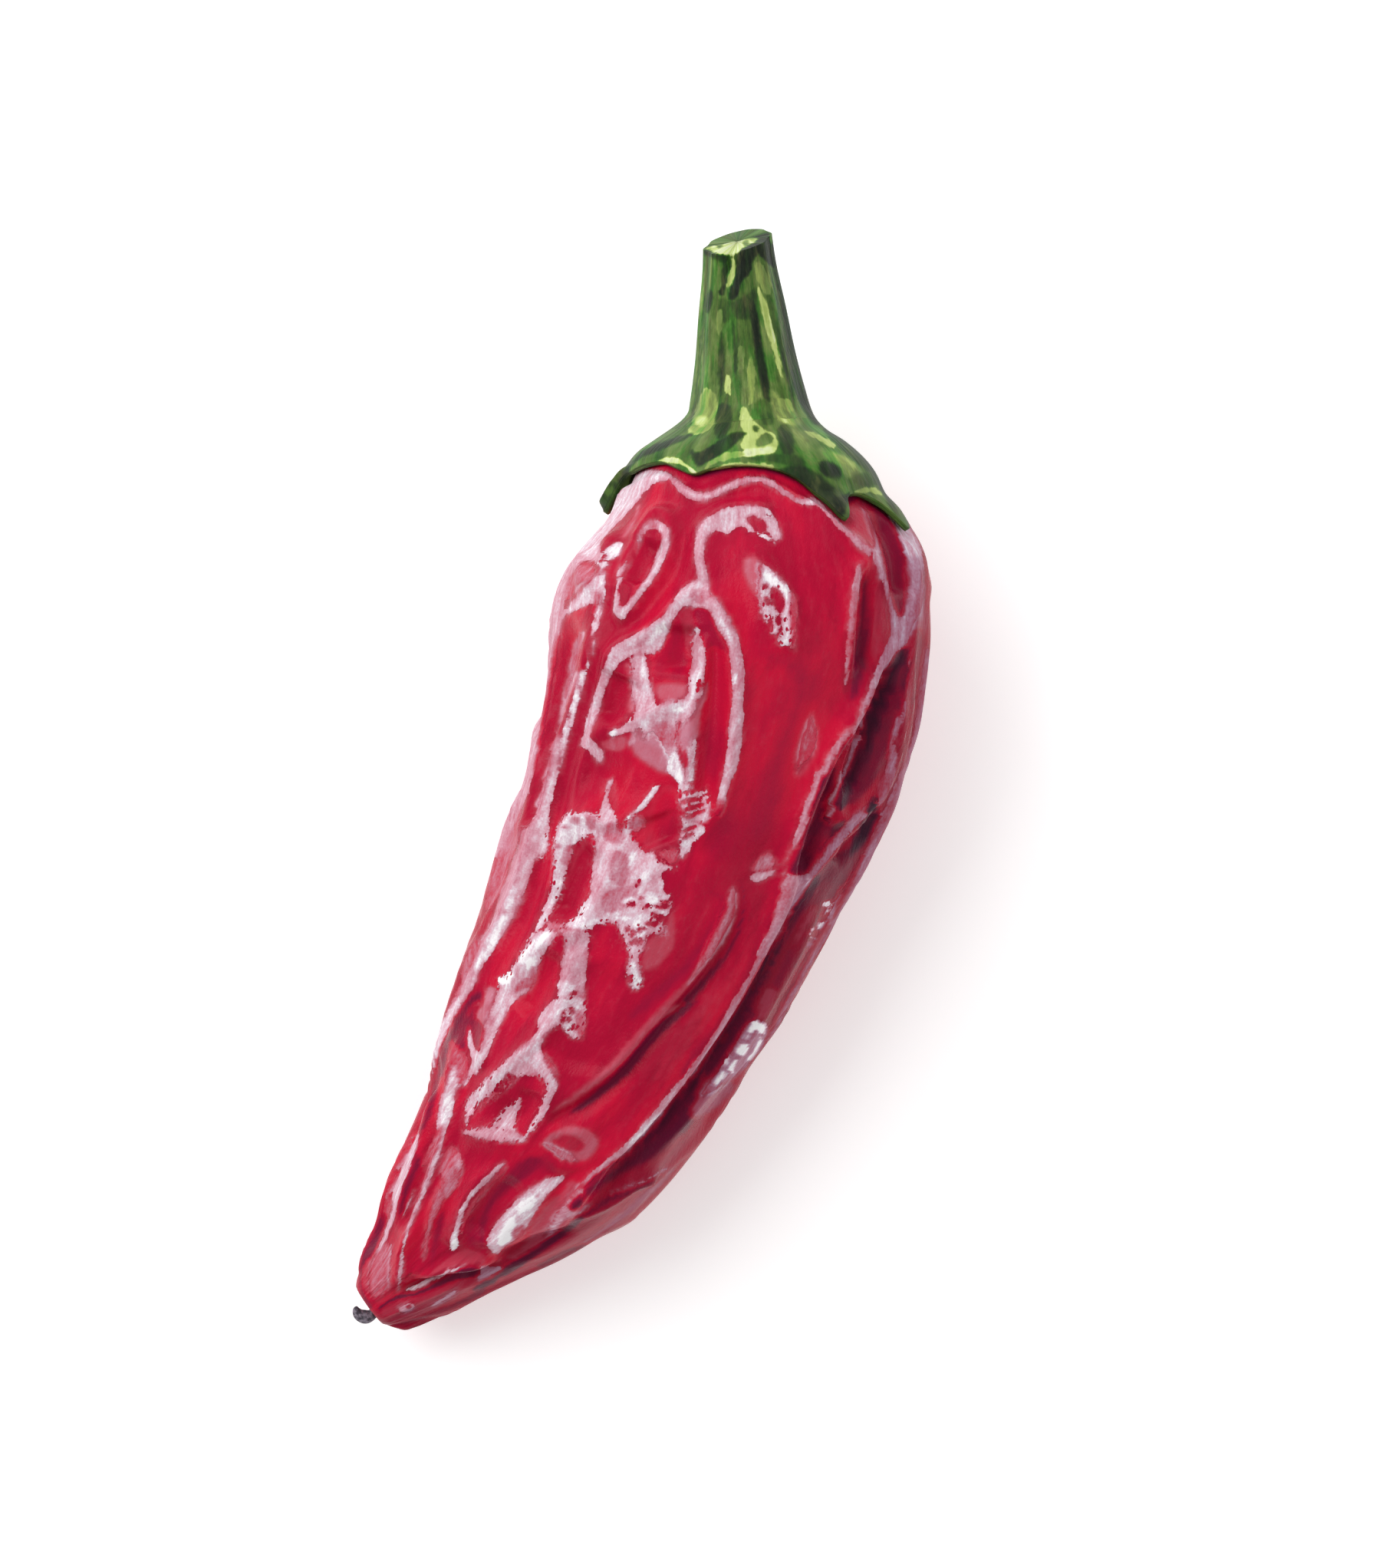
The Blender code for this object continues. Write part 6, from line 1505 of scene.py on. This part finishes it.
def calyxPaint():
    paint = Paint("calyx_green")
    ground, tint, border = paint.field("ground"), paint.field("tint"), paint.field("border")
    layers = paint.noises(paint.field("straight", "Vector"), green["noises"])
    # pale marks the painted highlights on the calyx and stalk.
    pale = paint.step(border + paint.swing(layers, green["frayed"]), *green["pale"])
    mottle = paint.swing(layers, green["mottled"])
    wash = ground + mottle
    tone = wash + (tint + mottle * green["mottledPale"] - wash) * pale
    colour = paint.ramp(tone, green["tones"])
    middle = 1 - paint.step(tone, *green["light"])
    vivid = paint.step(layers["hues"], *green["vividNoise"]) * middle
    olive = paint.step(layers["hues"], *green["oliveNoise"]) * middle * green["oliveShare"]
    brown = paint.step(layers["fine"], *green["brownNoise"]) * green["brownShare"]
    colour = paint.mix(vivid, colour, green["vivid"], "MULTIPLY")
    colour = paint.mix(olive, colour, green["olive"])
    colour = paint.mix(brown, colour, green["brown"])
    bumps = layers["fibres"] + layers["fine"] * green["fineBump"]
    paint.give(Base_Color=colour, Roughness=green["roughness"], Specular_IOR_Level=green["specular"],
               Normal=paint.bump(bumps, green["bumpHeight"]))
    return paint.material


dryLook = {
    "noise": (2600, 4, 0.55, 0.0),  # scale in 1/m, detail, roughness, distortion
    "pale": (0.4, 0.65),
    "colours": ((0.045, 0.035, 0.05), (0.26, 0.22, 0.27)),
    "roughness": 0.75,
    "bumpHeight": 0.15 * mm,
}


def stylePaint():
    paint = Paint("dry_style")
    fine = paint.noise(paint.node("ShaderNodeTexCoord", output="Object"), *dryLook["noise"])
    colour = paint.mix(paint.step(fine, *dryLook["pale"]), *dryLook["colours"])
    paint.give(Base_Color=colour, Roughness=dryLook["roughness"],
               Normal=paint.bump(fine, dryLook["bumpHeight"]))
    return paint.material


def dress(piece, node, material):
    piece.data.materials.append(material)
    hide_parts(node)
    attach(piece, "root")


def makePod():
    piece = sphereMesh("pod_skin", pod["segments"], pod["rings"], podSkin)
    dress(piece, "pod", podPaint())
    report(f"pod, {len(piece.data.polygons)} faces")


def makeCalyx():
    rings = calyx["cutRings"] + calyx["stalkRings"] + calyx["capRings"] + 1 + calyx["liningRings"]
    piece = sphereMesh("calyx_and_stalk_skin", calyx["segments"], rings, calyxSkin)
    dress(piece, "calyx_and_stalk", calyxPaint())
    report(f"calyx and stalk, {len(piece.data.polygons)} faces")


def makeStyle():
    piece = sphereMesh("style_remnant_skin", style["segments"], style["rings"], styleSkin)
    dress(piece, "style_remnant", stylePaint())
    report("style remnant")


# Stage, lights and camera

floorLook = {"size": 3.0, "colour": (0.95, 0.95, 0.95), "glow": 0.35, "roughness": 0.9, "specular": 0.1}
lamps = {  # towards the picture's right, towards its top, height, size, all in metres; then watts
    "key": (-0.55, 0.40, 0.70, 0.80, 6.5),
    "fill": (0.70, -0.30, 0.65, 0.90, 2.0),
    "back": (0.1, 0.8, 0.55, 0.8, 1.6),
}
surround = {"colour": (1, 1, 1), "strength": 0.4}


def fromPicture(right, up, height):  # directions in the picture, turned into the object's frame
    return Matrix.Rotation(view["roll"], 3, "Z") @ Vector((right, up, height))


def makeStage():
    bm = bmesh.new()
    bmesh.ops.create_grid(bm, x_segments=1, y_segments=1, size=floorLook["size"] / 2)
    mesh = bpy.data.meshes.new("floor")
    bm.to_mesh(mesh)
    bm.free()
    floor = bpy.data.objects.new("floor", mesh)
    bpy.context.scene.collection.objects.link(floor)
    paint = Paint("floor")
    paint.give(Base_Color=floorLook["colour"], Roughness=floorLook["roughness"],
               Specular_IOR_Level=floorLook["specular"], Emission_Color=floorLook["colour"],
               Emission_Strength=floorLook["glow"])
    mesh.materials.append(paint.material)


def makeLights():
    for name, (right, up, height, size, watts) in lamps.items():
        light = bpy.data.lights.new(name, "AREA")
        light.energy, light.size = watts, size
        lamp = bpy.data.objects.new(name, light)
        lamp.location = fromPicture(right, up, height)
        lamp.rotation_euler = (-lamp.location).to_track_quat("-Z", "Y").to_euler()
        bpy.context.scene.collection.objects.link(lamp)
    world = bpy.data.worlds.new("studio")
    world.use_nodes = True
    background = world.node_tree.nodes["Background"]
    background.inputs["Color"].default_value = (*surround["colour"], 1)
    background.inputs["Strength"].default_value = surround["strength"]
    bpy.context.scene.world = world


def makeCamera():
    camera = bpy.data.cameras.new("camera")
    camera.sensor_fit, camera.sensor_height, camera.lens = "VERTICAL", view["film"], view["lens"]
    camera.clip_start, camera.clip_end = view["clip"]
    holder = bpy.data.objects.new("camera", camera)
    height = view["middleHeight"] + view["visibleHeight"] * view["lens"] / view["film"]
    turn = Matrix.Rotation(view["roll"], 4, "Z")
    holder.matrix_world = Matrix.Translation((*view["centre"], height)) @ turn
    bpy.context.scene.collection.objects.link(holder)
    bpy.context.scene.camera = holder
    bpy.context.scene.view_settings.view_transform = "Standard"


makeCamera()
makeStage()
makeLights()
makePod()
makeCalyx()
makeStyle()
